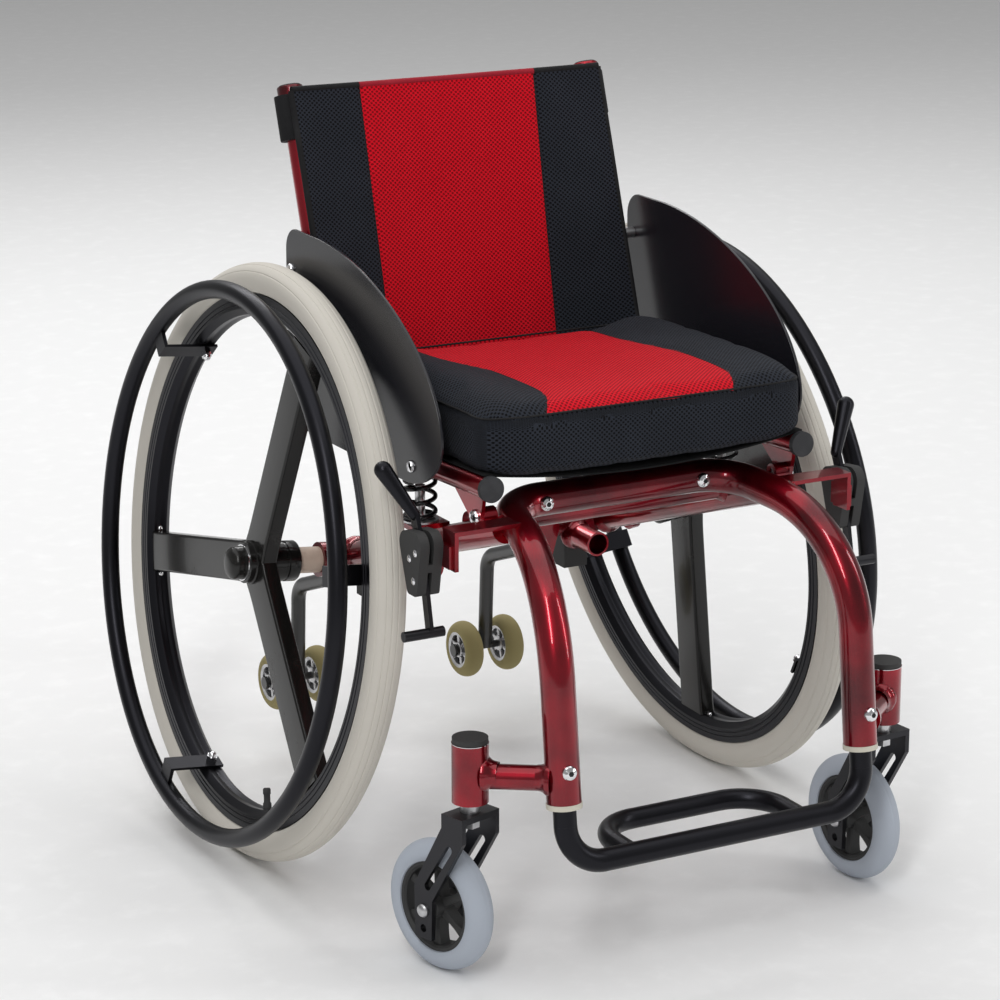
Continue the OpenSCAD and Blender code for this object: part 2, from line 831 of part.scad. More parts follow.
// Outline of a fork blade, y to the rear and z up
module blade_outline() {
  difference() {
    polygon([
      [-14, crown_z], [-14, crown_z - 24], [-8, crown_z - 34], [trail - 12, caster_r + 12], [trail - 11, 36],
      [trail + 11, 36], [trail + 12, caster_r + 24], [14, crown_z - 14], [14, crown_z]
    ]);
    hull() {
      translate([4, crown_z - 34]) circle(r = 4, $fn = 32);
      translate([trail - 6, caster_r + 26]) circle(r = 4, $fn = 32);
    }
    translate([trail, caster_r]) circle(r = 4 + run_gap, $fn = 48);
    translate([trail, 46]) circle(r = 4, $fn = 48);
  }
}

module caster_fork() {
  difference() {
    union() {
      for (s = [left, right])
        translate([s > 0 ? fork_gap : -fork_gap - fork_t, 0, 0]) rotate([90, 0, 90]) linear_extrude(height = fork_t) blade_outline();
      translate([-fork_gap - fork_t, -14, crown_z - 6]) cube([2 * fork_gap + 2 * fork_t, 28, 6]);
    }
    translate([0, 0, crown_z - 10]) cylinder(h = 20, r = stem_r + weld_gap, $fn = 48);
  }
}

module caster_fork_left() {
  color(black) caster_frame(left) caster_fork();
}

module caster_fork_right() {
  color(black) caster_frame(right) caster_fork();
}

module caster_hardware() {
  translate([0, 0, crown_z - 15]) cylinder(h = head_top - crown_z + 13, r = stem_r, $fn = 48);
  translate([0, 0, crown_z - 15]) cylinder(h = 9 - weld_gap, r = 9, $fn = 6);
  translate([0, 0, crown_z + weld_gap]) cylinder(h = head_foot - crown_z - seat_gap - weld_gap, r = 9, $fn = 48);
  translate([0, trail, caster_r]) {
    across(-fork_gap - fork_t - 1, fork_gap + fork_t + 1, 4);
    for (s = [left, right])
      translate([s * (fork_gap + fork_t + weld_gap), 0, 0]) rotate([0, s * 90, 0]) button_head(6.5);
  }
}

module caster_hardware_left() {
  color(steel) caster_frame(left) caster_hardware();
}

module caster_hardware_right() {
  color(steel) caster_frame(right) caster_hardware();
}

module caster_tyre() {
  bead = caster_r - 20;
  translate([0, trail, caster_r]) rotate([0, 90, 0]) rotate_extrude($fn = 120) difference() {
    union() {
      translate([caster_r - caster_w / 2, 0]) circle(r = caster_w / 2, $fn = 64);
      translate([bead, -caster_w / 2 + 1]) square([caster_r - caster_w / 2 - bead, caster_w - 2]);
    }
    translate([0, -20]) square([bead, 40]);
  }
}

module caster_tyre_left() {
  color([0.5, 0.54, 0.6]) caster_frame(left) caster_tyre();
}

module caster_tyre_right() {
  color([0.5, 0.54, 0.6]) caster_frame(right) caster_tyre();
}

module caster_hub() {
  bead = caster_r - 20 - weld_gap;
  translate([0, trail, caster_r]) rotate([0, 90, 0]) difference() {
    union() {
      difference() {
        translate([0, 0, -11]) cylinder(h = 22, r = bead, $fn = 96);
        translate([0, 0, -12]) cylinder(h = 24, r = bead - 5, $fn = 96);
      }
      translate([0, 0, -17]) cylinder(h = 34, r = 11, $fn = 48);
      for (a = [0 : 60 : 300])
        rotate([0, 0, a]) translate([9, -3.5, -6]) cube([bead - 12, 7, 12]);
    }
    translate([0, 0, -30]) cylinder(h = 60, r = 4 + run_gap, $fn = 48);
  }
}

module caster_hub_left() {
  color(black) caster_frame(left) caster_hub();
}

module caster_hub_right() {
  color(black) caster_frame(right) caster_hub();
}

// ---- rear wheels ----

module tyre() {
  wheel_frame() rotate_extrude($fn = 240) difference() {
    translate([wheel_r - tyre_rt, 0]) circle(r = tyre_rt, $fn = 64);
    translate([0, -40]) square([bead_r + weld_gap, 80]);
  }
}

module tyre_left() {
  color([0.72, 0.7, 0.66]) on_side(left) tyre();
}

module tyre_right() {
  color([0.72, 0.7, 0.66]) on_side(right) tyre();
}

module rim() {
  half = rim_w / 2;
  wall = 3;
  wheel_frame() rotate_extrude($fn = 240) polygon([
    [rim_inner_r, 5 - half], [rim_inner_r + 6, -half], [bead_r, -half], [bead_r, wall - half],
    [rim_inner_r + 8, wall - half], [rim_inner_r + wall + 1, 8 - half], [rim_inner_r + wall + 1, half - 8],
    [rim_inner_r + 8, half - wall], [bead_r, half - wall], [bead_r, half], [rim_inner_r + 6, half],
    [rim_inner_r, half - 5]
  ]);
}

module rim_left() {
  color(black) on_side(left) rim();
}

module rim_right() {
  color(black) on_side(right) rim();
}

// Spokes start at spin degrees from straight down, turning to the rear
module spider(spin) {
  cap_r = 17;
  wheel_frame() rotate([0, 0, spin]) difference() {
    rotate([0, 0, 60]) union() {
      // Hub with its inner cup and its domed outer cap
      rotate_extrude($fn = 64) polygon([
        [0, cup_in], [hub_r - 2, cup_in], [hub_r, cup_in + 2], [hub_r, hub_half], [cap_r, hub_half],
        [cap_r, hub_half + 9], [cap_r - 1.5, hub_half + 13], [cap_r - 6, hub_half + 16.5], [0, hub_half + 18]
      ]);
      translate([0, 0, -spoke_d / 2]) linear_extrude(height = spoke_d) intersection() {
        for (a = [60 : 120 : 300])
          rotate(a) translate([0, -spoke_w / 2]) square([rim_inner_r, spoke_w]);
        circle(r = rim_inner_r - weld_gap, $fn = 240);
      }
    }
    translate([0, 0, -60]) cylinder(h = 60 + hub_half + 9.5, r = axle_pin_r + run_gap, $fn = 48);
    translate([0, 0, hub_half + 9]) cylinder(h = 6.5, r = 9 + run_gap, $fn = 48);
  }
}

module spider_left() {
  color(black) on_side(left) spider(spin_left);
}

module spider_right() {
  color(black) on_side(right) spider(spin_right);
}

module rim_ring(r) {
  rotate_extrude($fn = 240) translate([handrim_r - handrim_d / 2, handrim_offset]) circle(r = r, $fn = 48);
}

module handrim(spin) {
  tube_r = handrim_d / 2;
  ring_r = handrim_r - tube_r;
  tab_r = rim_inner_r - tab_t - tab_drop;
  wheel_frame() difference() {
    union() {
      rim_ring(tube_r);
      // Tabs from the rim's inner face out to the handrim
      for (a = [spin + 60, spin + 180, spin + 300]) rotate([0, 0, a]) {
        translate([tab_r, -tab_w / 2, -10]) cube([tab_t, tab_w, handrim_offset + 12]);
        translate([tab_r, -tab_w / 2, handrim_offset - 2]) cube([ring_r - tab_r, tab_w, 4]);
      }
    }
    rim_ring(tube_r - 1.5);
    for (a = [spin + 60, spin + 180, spin + 300])
      rotate([0, 0, a]) translate([tab_r - 2, 0, 0]) rotate([0, 90, 0]) cylinder(h = 10, r = 3.1, $fn = 32);
  }
}

module handrim_left() {
  color(black) on_side(left) handrim(spin_left);
}

module handrim_right() {
  color(black) on_side(right) handrim(spin_right);
}

module handrim_nuts(spin) {
  tab_r = rim_inner_r - tab_t - tab_drop - weld_gap;
  wheel_frame() for (a = [spin + 60, spin + 180, spin + 300]) rotate([0, 0, a]) {
    translate([tab_r - 6, 0, 0]) rotate([0, 90, 0]) cylinder(h = 6, r = 6, $fn = 6);
    translate([tab_r - 6.5, 0, 0]) rotate([0, 90, 0]) cylinder(h = 9, r = 3, $fn = 32);
    translate([tab_r - 6, 0, 0]) sphere(r = 4.5, $fn = 32);
  }
}

module handrim_nuts_left() {
  color(steel) on_side(left) handrim_nuts(spin_left);
}

module handrim_nuts_right() {
  color(steel) on_side(right) handrim_nuts(spin_right);
}

front_hoop();
side_tubes();
rear_cross_tube();
axle_tube();
socket_tubes();
axle_plates();
axle_sleeves();
axle_pins();
head_tube_left();
head_tube_right();
head_caps();
leg_collars();
frame_bolts();
pivot_bolts();
anti_tip_arm_left();
anti_tip_arm_right();
anti_tip_clamps();
brake_bracket_left();
brake_bracket_right();
brake_housing_left();
brake_housing_right();
spring_left();
spring_right();
spring_rods();
brake_lever_left();
brake_lever_right();
brake_shoe_left();
brake_shoe_right();
footrest();
seat_rails();
rail_caps();
back_posts();
post_caps();
side_guard_left();
side_guard_right();
cushion();
seat_sling();
back_upholstery();
caster_fork_left();
caster_fork_right();
caster_hardware_left();
caster_hardware_right();
caster_tyre_left();
caster_tyre_right();
caster_hub_left();
caster_hub_right();
tyre_left();
tyre_right();
rim_left();
rim_right();
spider_left();
spider_right();
handrim_left();
handrim_right();
handrim_nuts_left();
handrim_nuts_right();
anti_tip_wheel_left_inner();
anti_tip_wheel_left_outer();
anti_tip_wheel_right_inner();
anti_tip_wheel_right_outer();
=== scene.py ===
"""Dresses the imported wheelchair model: finishes, upholstery, tyres, fittings, floor, light and camera."""

import logging
import math
from dataclasses import dataclass, field
from enum import Enum
from typing import Sequence

import bpy
import numpy as np
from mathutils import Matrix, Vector
from mathutils.bvhtree import BVHTree


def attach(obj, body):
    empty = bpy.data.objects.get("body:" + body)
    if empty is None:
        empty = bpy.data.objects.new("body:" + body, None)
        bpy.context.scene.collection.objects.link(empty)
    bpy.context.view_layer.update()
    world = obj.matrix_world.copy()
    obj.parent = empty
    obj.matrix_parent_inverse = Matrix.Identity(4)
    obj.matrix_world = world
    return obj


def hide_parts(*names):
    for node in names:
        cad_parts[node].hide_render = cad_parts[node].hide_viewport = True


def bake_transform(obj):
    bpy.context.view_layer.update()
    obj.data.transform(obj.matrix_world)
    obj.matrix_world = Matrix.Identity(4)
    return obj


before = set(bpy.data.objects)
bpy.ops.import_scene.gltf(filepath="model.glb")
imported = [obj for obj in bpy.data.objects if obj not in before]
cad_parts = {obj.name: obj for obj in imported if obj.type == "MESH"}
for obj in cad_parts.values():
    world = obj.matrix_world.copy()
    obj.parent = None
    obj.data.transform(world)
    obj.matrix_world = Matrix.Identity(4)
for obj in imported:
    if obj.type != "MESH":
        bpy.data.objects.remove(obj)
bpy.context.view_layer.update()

LOG = logging.getLogger("wheelchair")
MM = 0.001
SHARP = math.radians(38)


class Side(Enum):
    """The chair's left and right halves, as the sign of X."""

    LEFT = 1
    RIGHT = -1

    @property
    def word(self) -> str:
        """The side's name as it ends the node names."""
        return self.name.lower()


# ---------------------------------------------------------------- shaders


class Value:
    """A shader socket that takes part in Python expressions."""

    def __init__(self, graph: "Graph", socket: bpy.types.NodeSocket) -> None:
        """Wraps one output socket of a graph."""
        self.graph = graph
        self.socket = socket

    def _maths(self, operation: str, *values: object) -> "Value":
        """Adds one Math node.

        Args:
            operation: The Math node's operation.
            *values: Numbers or Values for its inputs.

        Returns:
            The node's result.
        """
        return self.graph.node("ShaderNodeMath", {"operation": operation}, dict(enumerate(values)))

    def __add__(self, other: object) -> "Value":
        """Sum."""
        return self._maths("ADD", self, other)

    def __sub__(self, other: object) -> "Value":
        """Difference."""
        return self._maths("SUBTRACT", self, other)

    def __mul__(self, other: object) -> "Value":
        """Product."""
        return self._maths("MULTIPLY", self, other)

    def cosine(self) -> "Value":
        """Cosine of the value in radians."""
        return self._maths("COSINE", self)

    def between(self, low: float, high: float) -> "Value":
        """A smooth step from 0 at low to 1 at high."""
        return self.graph.node(
            "ShaderNodeMapRange",
            {"interpolation_type": "SMOOTHSTEP"},
            {"Value": self, "From Min": low, "From Max": high},
        )


class Graph:
    """One material and its node tree."""

    def __init__(self, name: str) -> None:
        """Makes a material that holds a principled shader."""
        self.material = bpy.data.materials.new(name)
        self.material.use_nodes = True
        self.tree = self.material.node_tree
        self.shader = self.tree.nodes["Principled BSDF"]

    def node(self, kind: str, settings: dict, inputs: dict, output: object = 0) -> Value:
        """Adds any node.

        Args:
            kind: The node's type.
            settings: Properties that are set first.
            inputs: Socket name or number to a number, colour, vector or Value.
            output: Name or number of the output that is wanted.

        Returns:
            The wanted output.
        """
        made = self.tree.nodes.new(kind)
        for key, value in settings.items():
            setattr(made, key, value)
        for key, value in inputs.items():
            self.feed(made.inputs[key], value)
        return Value(self, made.outputs[output])

    def feed(self, socket: bpy.types.NodeSocket, value: object) -> None:
        """Links a Value to a socket, or sets a plain value on it."""
        if isinstance(value, Value):
            self.tree.links.new(value.socket, socket)
        else:
            socket.default_value = value

    def place(self) -> Value:
        """The point in object space, in metres."""
        return self.node("ShaderNodeTexCoord", {}, {}, "Object")

    def map(self) -> Value:
        """The piece's own UV map, in metres along the surface."""
        return self.node("ShaderNodeUVMap", {"uv_map": "UVMap"}, {})

    def split(self, vector: Value) -> tuple[Value, Value, Value]:
        """A vector's three parts."""
        made = self.tree.nodes.new("ShaderNodeSeparateXYZ")
        self.feed(made.inputs[0], vector)
        return tuple(Value(self, made.outputs[i]) for i in range(3))

    def noise(self, where: Value, scale: float, detail: float = 3.0, rough: float = 0.55) -> Value:
        """Soft noise from 0 to 1.

        Args:
            where: The point it is read at.
            scale: Features per metre.
            detail: Octaves.
            rough: Weight of the finer octaves.

        Returns:
            The noise.
        """
        return self.node(
            "ShaderNodeTexNoise", {}, {"Vector": where, "Scale": scale, "Detail": detail, "Roughness": rough}
        )

    def stretched(self, where: Value, scale: Sequence[float]) -> Value:
        """A vector scaled per axis."""
        return self.node("ShaderNodeVectorMath", {"operation": "MULTIPLY"}, {0: where, 1: tuple(scale)})

    def mix(self, factor: object, first: object, second: object) -> Value:
        """Blends two colours by a factor."""
        made = self.tree.nodes.new("ShaderNodeMix")
        made.data_type = "RGBA"
        self.feed(made.inputs["Factor"], factor)
        for socket, value in ((made.inputs[6], first), (made.inputs[7], second)):
            self.feed(socket, value if isinstance(value, Value) else (*value, 1.0))
        return Value(self, made.outputs[2])

    def set(self, **sockets: object) -> None:
        """Sets the principled shader's sockets, with underscores for spaces."""
        for key, value in sockets.items():
            self.feed(self.shader.inputs[key.replace("_", " ")], value)

    def bump(self, height: Value, depth: float, strength: float) -> None:
        """Raises the surface by height times depth in metres."""
        normal = self.node("ShaderNodeBump", {}, {"Height": height, "Distance": depth, "Strength": strength})
        self.feed(self.shader.inputs["Normal"], normal)


@dataclass(frozen=True)
class Finish:
    """A surface finish that can make its material."""

    name: str
    colour: tuple[float, float, float] = (0.5, 0.5, 0.5)
    roughness: float = 0.4

    def build(self, g: Graph) -> None:
        """Fills the graph; each finish does its own."""
        raise NotImplementedError

    def material(self) -> bpy.types.Material:
        """The finish's material, made once."""
        found = bpy.data.materials.get(self.name)
        if found is None:
            g = Graph(self.name)
            self.build(g)
            found = g.material
        return found


@dataclass(frozen=True)
class CandyPaint(Finish):
    """Deep metallic paint under clear lacquer, with fine flake, faint orange peel and a little dust."""

    deep: tuple[float, float, float] = (0.1, 0.0, 0.008)

    def build(self, g: Graph) -> None:
        """Mixes a bright and a deep tone by soft noise and adds flake to the roughness."""
        where = g.place()
        cloud = g.noise(where, 9.0, 3.0)
        flake = g.noise(where, 2600.0, 1.0)
        dust = g.noise(where, 60.0, 6.0, 0.7).between(0.56, 0.78)
        tone = g.mix(cloud.between(0.3, 0.7), self.deep, self.colour)
        bright = tuple(min(1.0, c * 2.2 + 0.03) for c in self.colour)
        tone = g.mix(flake.between(0.55, 0.8) * 0.35, tone, bright)
        g.set(
            Base_Color=g.mix(dust * 0.05, tone, (0.2, 0.12, 0.11)),
            Metallic=0.9,
            Roughness=flake * 0.12 + dust * 0.1 + self.roughness,
            Coat_Weight=0.8,
            Coat_Roughness=0.03,
            Coat_IOR=1.5,
        )
        g.bump(g.noise(where, 420.0, 2.0), 0.00004, 0.5)


@dataclass(frozen=True)
class GlossPaint(Finish):
    """Plain gloss paint with a soft orange peel, dust and fine rubbed marks."""

    worn: tuple[float, float, float] = (0.09, 0.085, 0.08)

    def build(self, g: Graph) -> None:
        """Dulls the paint in soft clouds and in thin streaks."""
        where = g.place()
        cloud = g.noise(where, 14.0, 5.0, 0.65)
        streak = g.noise(g.stretched(where, (1.0, 1.0, 0.15)), 380.0, 2.0).between(0.6, 0.8)
        dust = cloud.between(0.52, 0.75)
        g.set(
            Base_Color=g.mix(dust * 0.25 + streak * 0.08, self.colour, self.worn),
            Roughness=dust * 0.16 + streak * 0.08 + self.roughness,
            Specular_IOR_Level=0.32,
            Coat_Weight=0.12,
            Coat_Roughness=0.05,
        )
        g.bump(g.noise(where, 300.0, 3.0), 0.00006, 0.5)


@dataclass(frozen=True)
class BareMetal(Finish):
    """Plated or bare metal with finger smudges and hairline scratches."""

    def build(self, g: Graph) -> None:
        """Varies the roughness by smudges and hairlines, and darkens the metal a little under the smudges."""
        where = g.place()
        smudge = g.noise(where, 90.0, 4.0)
        hair = g.noise(g.stretched(where, (1.0, 1.0, 0.08)), 1500.0, 2.0)
        g.set(
            Base_Color=g.mix(smudge.between(0.4, 0.75), self.colour, tuple(c * 0.72 for c in self.colour)),
            Metallic=1.0,
            Roughness=smudge * 0.16 + hair * 0.1 + self.roughness,
        )
        g.bump(hair, 0.00002, 0.4)


@dataclass(frozen=True)
class Moulded(Finish):
    """Moulded plastic or nylon with a fine grain and paler handling marks."""

    grain: float = 900.0
    rubbed: float = 1.6

    def build(self, g: Graph) -> None:
        """Lightens the plastic in clouds and gives it a pebbled bump."""
        where = g.place()
        cloud = g.noise(where, 26.0, 5.0, 0.6)
        pebble = g.noise(where, self.grain, 2.0)
        light = tuple(min(1.0, c * self.rubbed + 0.01) for c in self.colour)
        g.set(
            Base_Color=g.mix(cloud.between(0.45, 0.8), self.colour, light),
            Roughness=cloud * 0.14 + pebble * 0.08 + self.roughness,
            Specular_IOR_Level=0.3,
        )
        g.bump(pebble, 0.00012, 0.6)


@dataclass(frozen=True)
class Elastomer(Finish):
    """Rubber or polyurethane with road grime, specks and scuffs."""

    grime: tuple[float, float, float] = (0.2, 0.17, 0.13)
    dirt: float = 0.5
    shine: float = 0.0

    def build(self, g: Graph) -> None:
        """Lays soft grime, dark specks and scuffs over the base colour."""
        where = g.place()
        cloud = g.noise(where, 11.0, 6.0, 0.6)
        speck = g.noise(where, 150.0, 2.0).between(0.72, 0.78)
        scuff = g.noise(g.stretched(where, (1.0, 0.2, 1.0)), 240.0, 4.0).between(0.58, 0.8)
        tone = g.mix(cloud.between(0.42, 0.78) * self.dirt, self.colour, self.grime)
        tone = g.mix(scuff * (self.dirt * 0.5), tone, self.grime)
        g.set(
            Base_Color=g.mix(speck * 0.8, tone, tuple(c * 0.35 for c in self.grime)),
            Roughness=cloud * 0.18 + scuff * 0.1 + self.roughness,
            Coat_Weight=self.shine,
            Coat_Roughness=0.25,
        )
        g.bump(scuff + g.noise(where, 700.0, 3.0) * 0.6, 0.00012, 0.6)


@dataclass(frozen=True)
class Webbing(Finish):
    """Flat woven nylon with crossing yarns."""

    pitch: float = 0.0016

    def build(self, g: Graph) -> None:
        """Crosses two sets of cosine ridges over the UV map and paints shade into the hollows between them,
        at 0.45 of the colour.
        """
        u, v, _ = g.split(g.map())
        k = 2 * math.pi / self.pitch
        weave = (u * k).cosine() * (v * k).cosine() * 0.5 + 0.5
        cloud = g.noise(g.place(), 30.0, 4.0)
        g.set(
            # Painted shade: the weave's hollows, which the bump lowers, take 0.45 of the colour.
            Base_Color=g.mix(weave, tuple(c * 0.45 for c in self.colour), self.colour),
            Roughness=cloud * 0.1 + self.roughness,
            Specular_IOR_Level=0.12,
            Sheen_Weight=0.03,
            Sheen_Roughness=0.5,
        )
        g.bump(weave, 0.0002, 0.7)


@dataclass(frozen=True)
class SpacerMesh(Finish):
    """Open 3-D spacer mesh: staggered holes in a knitted face, coloured where the panel attribute says."""

    panel: tuple[float, float, float] = (0.75, 0.003, 0.016)
    pitch_u: float = 0.0052
    pitch_v: float = 0.0046

    def build(self, g: Graph) -> None:
        """Cuts staggered holes by a product of cosines over the UV map and paints shade into them and into
        the fine grooves between yarns, in a near-black or dark red shade tone; the knit between them stays
        lighter.
        """
        u, v, _ = g.split(g.map())
        ku, kv = 2 * math.pi / self.pitch_u, 2 * math.pi / self.pitch_v
        hole = ((u * ku).cosine() * (v * kv).cosine()).between(-0.05, 0.45)
        yarn = ((u + v) * (2 * math.pi / 0.0011)).cosine() * 0.5 + 0.5
        cloud = g.noise(g.place(), 22.0, 4.0, 0.6)
        side = g.node("ShaderNodeAttribute", {"attribute_name": "panel"}, {}, "Fac").between(0.45, 0.55)
        knit = g.mix(side, self.colour, self.panel)
        pale = g.mix(side, (0.045, 0.052, 0.07), (0.9, 0.012, 0.03))
        knit = g.mix(cloud.between(0.3, 0.8) * 0.3, knit, pale)
        # Painted shade: deep is the dark tone that stands for the shade inside the holes and in the grooves
        # between yarns.
        deep = g.mix(side, (0.0012, 0.0012, 0.002), (0.2, 0.0, 0.004))
        g.set(
            Base_Color=g.mix(hole * 0.95, g.mix(yarn * 0.3, knit, deep), deep),
            Roughness=yarn * 0.12 + self.roughness,
            Specular_IOR_Level=0.12,
            Sheen_Weight=0.03,
            Sheen_Roughness=0.5,
        )
        g.bump(yarn * 0.15 - hole, 0.0008, 0.85)


@dataclass(frozen=True)
class Finishes:
    """Every finish on the chair, and the floor's."""

    red: Finish = CandyPaint("candy_red", (0.36, 0.002, 0.014), 0.24, deep=(0.07, 0.0, 0.004))
    black: Finish = GlossPaint("gloss_black", (0.006, 0.006, 0.007), 0.14, worn=(0.03, 0.028, 0.025))
    spoke: Finish = GlossPaint("spoke_black", (0.007, 0.0065, 0.006), 0.2, worn=(0.035, 0.03, 0.026))
    guard: Finish = GlossPaint("guard_black", (0.003, 0.0035, 0.005), 0.1, worn=(0.008, 0.009, 0.013))
    satin: Finish = GlossPaint("satin_black", (0.009, 0.009, 0.01), 0.36, worn=(0.045, 0.045, 0.045))
    arm: Finish = GlossPaint("arm_grey", (0.02, 0.02, 0.019), 0.34, worn=(0.06, 0.058, 0.05))
    chrome: Finish = BareMetal("chrome", (0.86, 0.86, 0.88), 0.08)
    steel: Finish = BareMetal("steel", (0.6, 0.6, 0.61), 0.24)
    spring: Finish = GlossPaint("spring_black", (0.008, 0.008, 0.009), 0.22)
    plastic: Finish = Moulded("black_plastic", (0.009, 0.009, 0.01), 0.42)
    # Painted shade: the dark tone of the plates that stand for the shade inside the bolts' hex sockets.
    socket: Finish = Moulded("socket_painted_shade", (0.012, 0.012, 0.013), 0.5)
    cap: Finish = Moulded("cap_grey", (0.032, 0.033, 0.036), 0.5)
    cream: Finish = Moulded("cream_nylon", (0.55, 0.43, 0.35), 0.4, rubbed=1.25)
    collar: Finish = Moulded("white_nylon", (0.62, 0.59, 0.5), 0.35, rubbed=1.15)
    tyre: Finish = Elastomer("tyre_grey", (0.46, 0.44, 0.38), 0.48, grime=(0.2, 0.165, 0.115), dirt=0.7)
    caster: Finish = Elastomer(
        "caster_grey", (0.27, 0.3, 0.34), 0.28, grime=(0.15, 0.15, 0.15), dirt=0.35, shine=0.5
    )
    amber: Finish = Elastomer(
        "roller_amber", (0.14, 0.12, 0.055), 0.25, grime=(0.06, 0.05, 0.03), dirt=0.5, shine=0.7
    )
    mesh: Finish = SpacerMesh("spacer_mesh", (0.024, 0.028, 0.038), 0.75)
    sling: Finish = Webbing("sling_nylon", (0.012, 0.012, 0.013), 0.7)
    piping: Finish = Moulded("dark_piping", (0.006, 0.006, 0.007), 0.7, grain=2400.0)
    red_piping: Finish = Moulded("red_piping", (0.3, 0.004, 0.016), 0.6, grain=2400.0, rubbed=1.2)
    floor: Finish = Moulded("studio_floor", (0.86, 0.86, 0.86), 0.75, grain=200.0, rubbed=1.04)


# ---------------------------------------------------------------- meshes


@dataclass
class Mesh:
    """Points, faces and optional surface coordinates of one shape."""

    points: np.ndarray
    faces: list
    uv: np.ndarray | None = None
    panel: np.ndarray | None = None

    def joined(self, *others: "Mesh") -> "Mesh":
        """This mesh and the others as one."""
        parts = (self, *others)
        starts = np.cumsum([0] + [len(p.points) for p in parts[:-1]])
        faces = [list(np.asarray(f) + s) for p, s in zip(parts, starts) for f in p.faces]
        return Mesh(np.concatenate([p.points for p in parts]), faces)

    def moved(self, turn: np.ndarray, shift: Sequence[float]) -> "Mesh":
        """The mesh under a rotation or mirror matrix and then a shift; a mirror turns the faces round."""
        faces = [f[::-1] for f in self.faces] if np.linalg.det(turn) < 0 else self.faces
        return Mesh(self.points @ turn.T + np.asarray(shift), faces, self.uv, self.panel)

    def spun(self, angle: float) -> "Mesh":
        """The mesh turned about the z axis by an angle in radians."""
        c, s = math.cos(angle), math.sin(angle)
        return self.moved(np.array([[c, -s, 0], [s, c, 0], [0, 0, 1]]), (0, 0, 0))


def lattice(points: np.ndarray, wrap_u: bool, wrap_v: bool, caps: bool = False) -> Mesh:
    """Skins a grid of points.

    Args:
        points: Array of rows, columns and coordinates.
        wrap_u: Whether the last row joins the first.
        wrap_v: Whether the last column joins the first.
        caps: Whether the first and last rows are closed by one face each.

    Returns:
        The skinned mesh, whose faces join neighbours on the grid.
    """
    n, m = points.shape[:2]
    i = np.arange(n if wrap_u else n - 1)
    j = np.arange(m if wrap_v else m - 1)
    a, b = np.meshgrid(i, j, indexing="ij")
    c, d = (a + 1) % n, (b + 1) % m
    quads = np.stack([a * m + b, a * m + d, c * m + d, c * m + b], -1).reshape(-1, 4).tolist()
    if caps:
        quads.append(list(range(m))[::-1])
        quads.append(list(range((n - 1) * m, n * m)))
    return Mesh(points.reshape(-1, 3), quads)


def lathe(profile: Sequence[Sequence[float]], steps: int = 96) -> Mesh:
    """Turns a closed profile of (radius, height) points round the z axis.

    Point (i, j) is radius_j times (cos a_i, sin a_i) at height_j. The profile runs anticlockwise in the
    (radius, height) plane.
    """
    p = np.asarray(profile, float)
    a = np.linspace(0, 2 * math.pi, steps, endpoint=False)
    grid = np.stack(
        [np.outer(np.cos(a), p[:, 0]), np.outer(np.sin(a), p[:, 0]), np.tile(p[:, 1], (steps, 1))], -1
    )
    return lattice(grid, True, True)


def rounded(outline: Sequence[Sequence[float]], radius: float, steps: int = 4) -> np.ndarray:
    """Rounds the corners of a closed outline.

    Each corner becomes a quadratic curve between two points that lie radius away from it along its two edges,
    or less on a short edge.
    """
    p = np.asarray(outline, float)
    back, ahead = np.roll(p, 1, 0) - p, np.roll(p, -1, 0) - p
    lb, la = (np.linalg.norm(v, axis=1, keepdims=True) for v in (back, ahead))
    start, end = p + back / lb * np.minimum(radius, lb * 0.45), p + ahead / la * np.minimum(radius, la * 0.45)
    t = np.linspace(0, 1, steps + 1)[None, :, None]
    curve = (1 - t) ** 2 * start[:, None] + 2 * t * (1 - t) * p[:, None] + t**2 * end[:, None]
    return curve.reshape(-1, p.shape[1])


def sweep(path: np.ndarray, radius: float | np.ndarray, sides: int = 20, closed: bool = False) -> Mesh:
    """Carries a circle along a path.

    The circle's first axis at each point is the tangent crossed with one fixed direction that the path never
    follows, and its second is the cross of the two, so the rings never twist.
    """
    path = np.asarray(path, float)
    tangent = (np.roll(path, -1, 0) - np.roll(path, 1, 0)) if closed else np.gradient(path, axis=0)
    tangent /= np.linalg.norm(tangent, axis=1, keepdims=True)
    spread = np.abs(tangent).max(0)
    fixed = np.eye(3)[int(np.argmin(spread))]
    one = np.cross(tangent, fixed)
    one /= np.linalg.norm(one, axis=1, keepdims=True)
    two = np.cross(tangent, one)
    a = np.linspace(0, 2 * math.pi, sides, endpoint=False)
    ring = np.cos(a)[None, :, None] * one[:, None] + np.sin(a)[None, :, None] * two[:, None]
    size = np.broadcast_to(np.asarray(radius, float), (len(path),))[:, None, None]
    return lattice(path[:, None] + ring * size, closed, True, not closed)


def axes(z: Sequence[float]) -> np.ndarray:
    """A rotation matrix whose third column is z and whose first is near the world's x, or its y if z is."""
    z = np.asarray(z, float) / np.linalg.norm(z)
    x = np.array((1, 0, 0) if abs(z[0]) < 0.9 else (0, 1, 0), float)
    y = np.cross(z, x)
    y /= np.linalg.norm(y)
    return np.stack([np.cross(y, z), y, z], 1)


def placed(mesh: Mesh, at: Sequence[float], z: Sequence[float]) -> Mesh:
    """A mesh turned so that its z axis points along z, then moved to a place."""
    return mesh.moved(axes(z), at)


def box_mesh(size: Sequence[float], corner: float) -> Mesh:
    """A box centred on the origin whose long edges along z are rounded."""
    x, y, z = (v / 2 for v in size)
    ring = rounded([(-x, -y), (x, -y), (x, y), (-x, y)], corner, 4)
    heights = np.array([-z, -z + corner * 0.4, z - corner * 0.4, z])
    shrink = np.array([1 - corner * 0.5 / max(x, y), 1, 1, 1 - corner * 0.5 / max(x, y)])
    grid = np.concatenate(
        [ring[None] * shrink[:, None, None], np.broadcast_to(heights[:, None, None], (4, len(ring), 1))], -1
    )
    return lattice(grid, False, True, True)


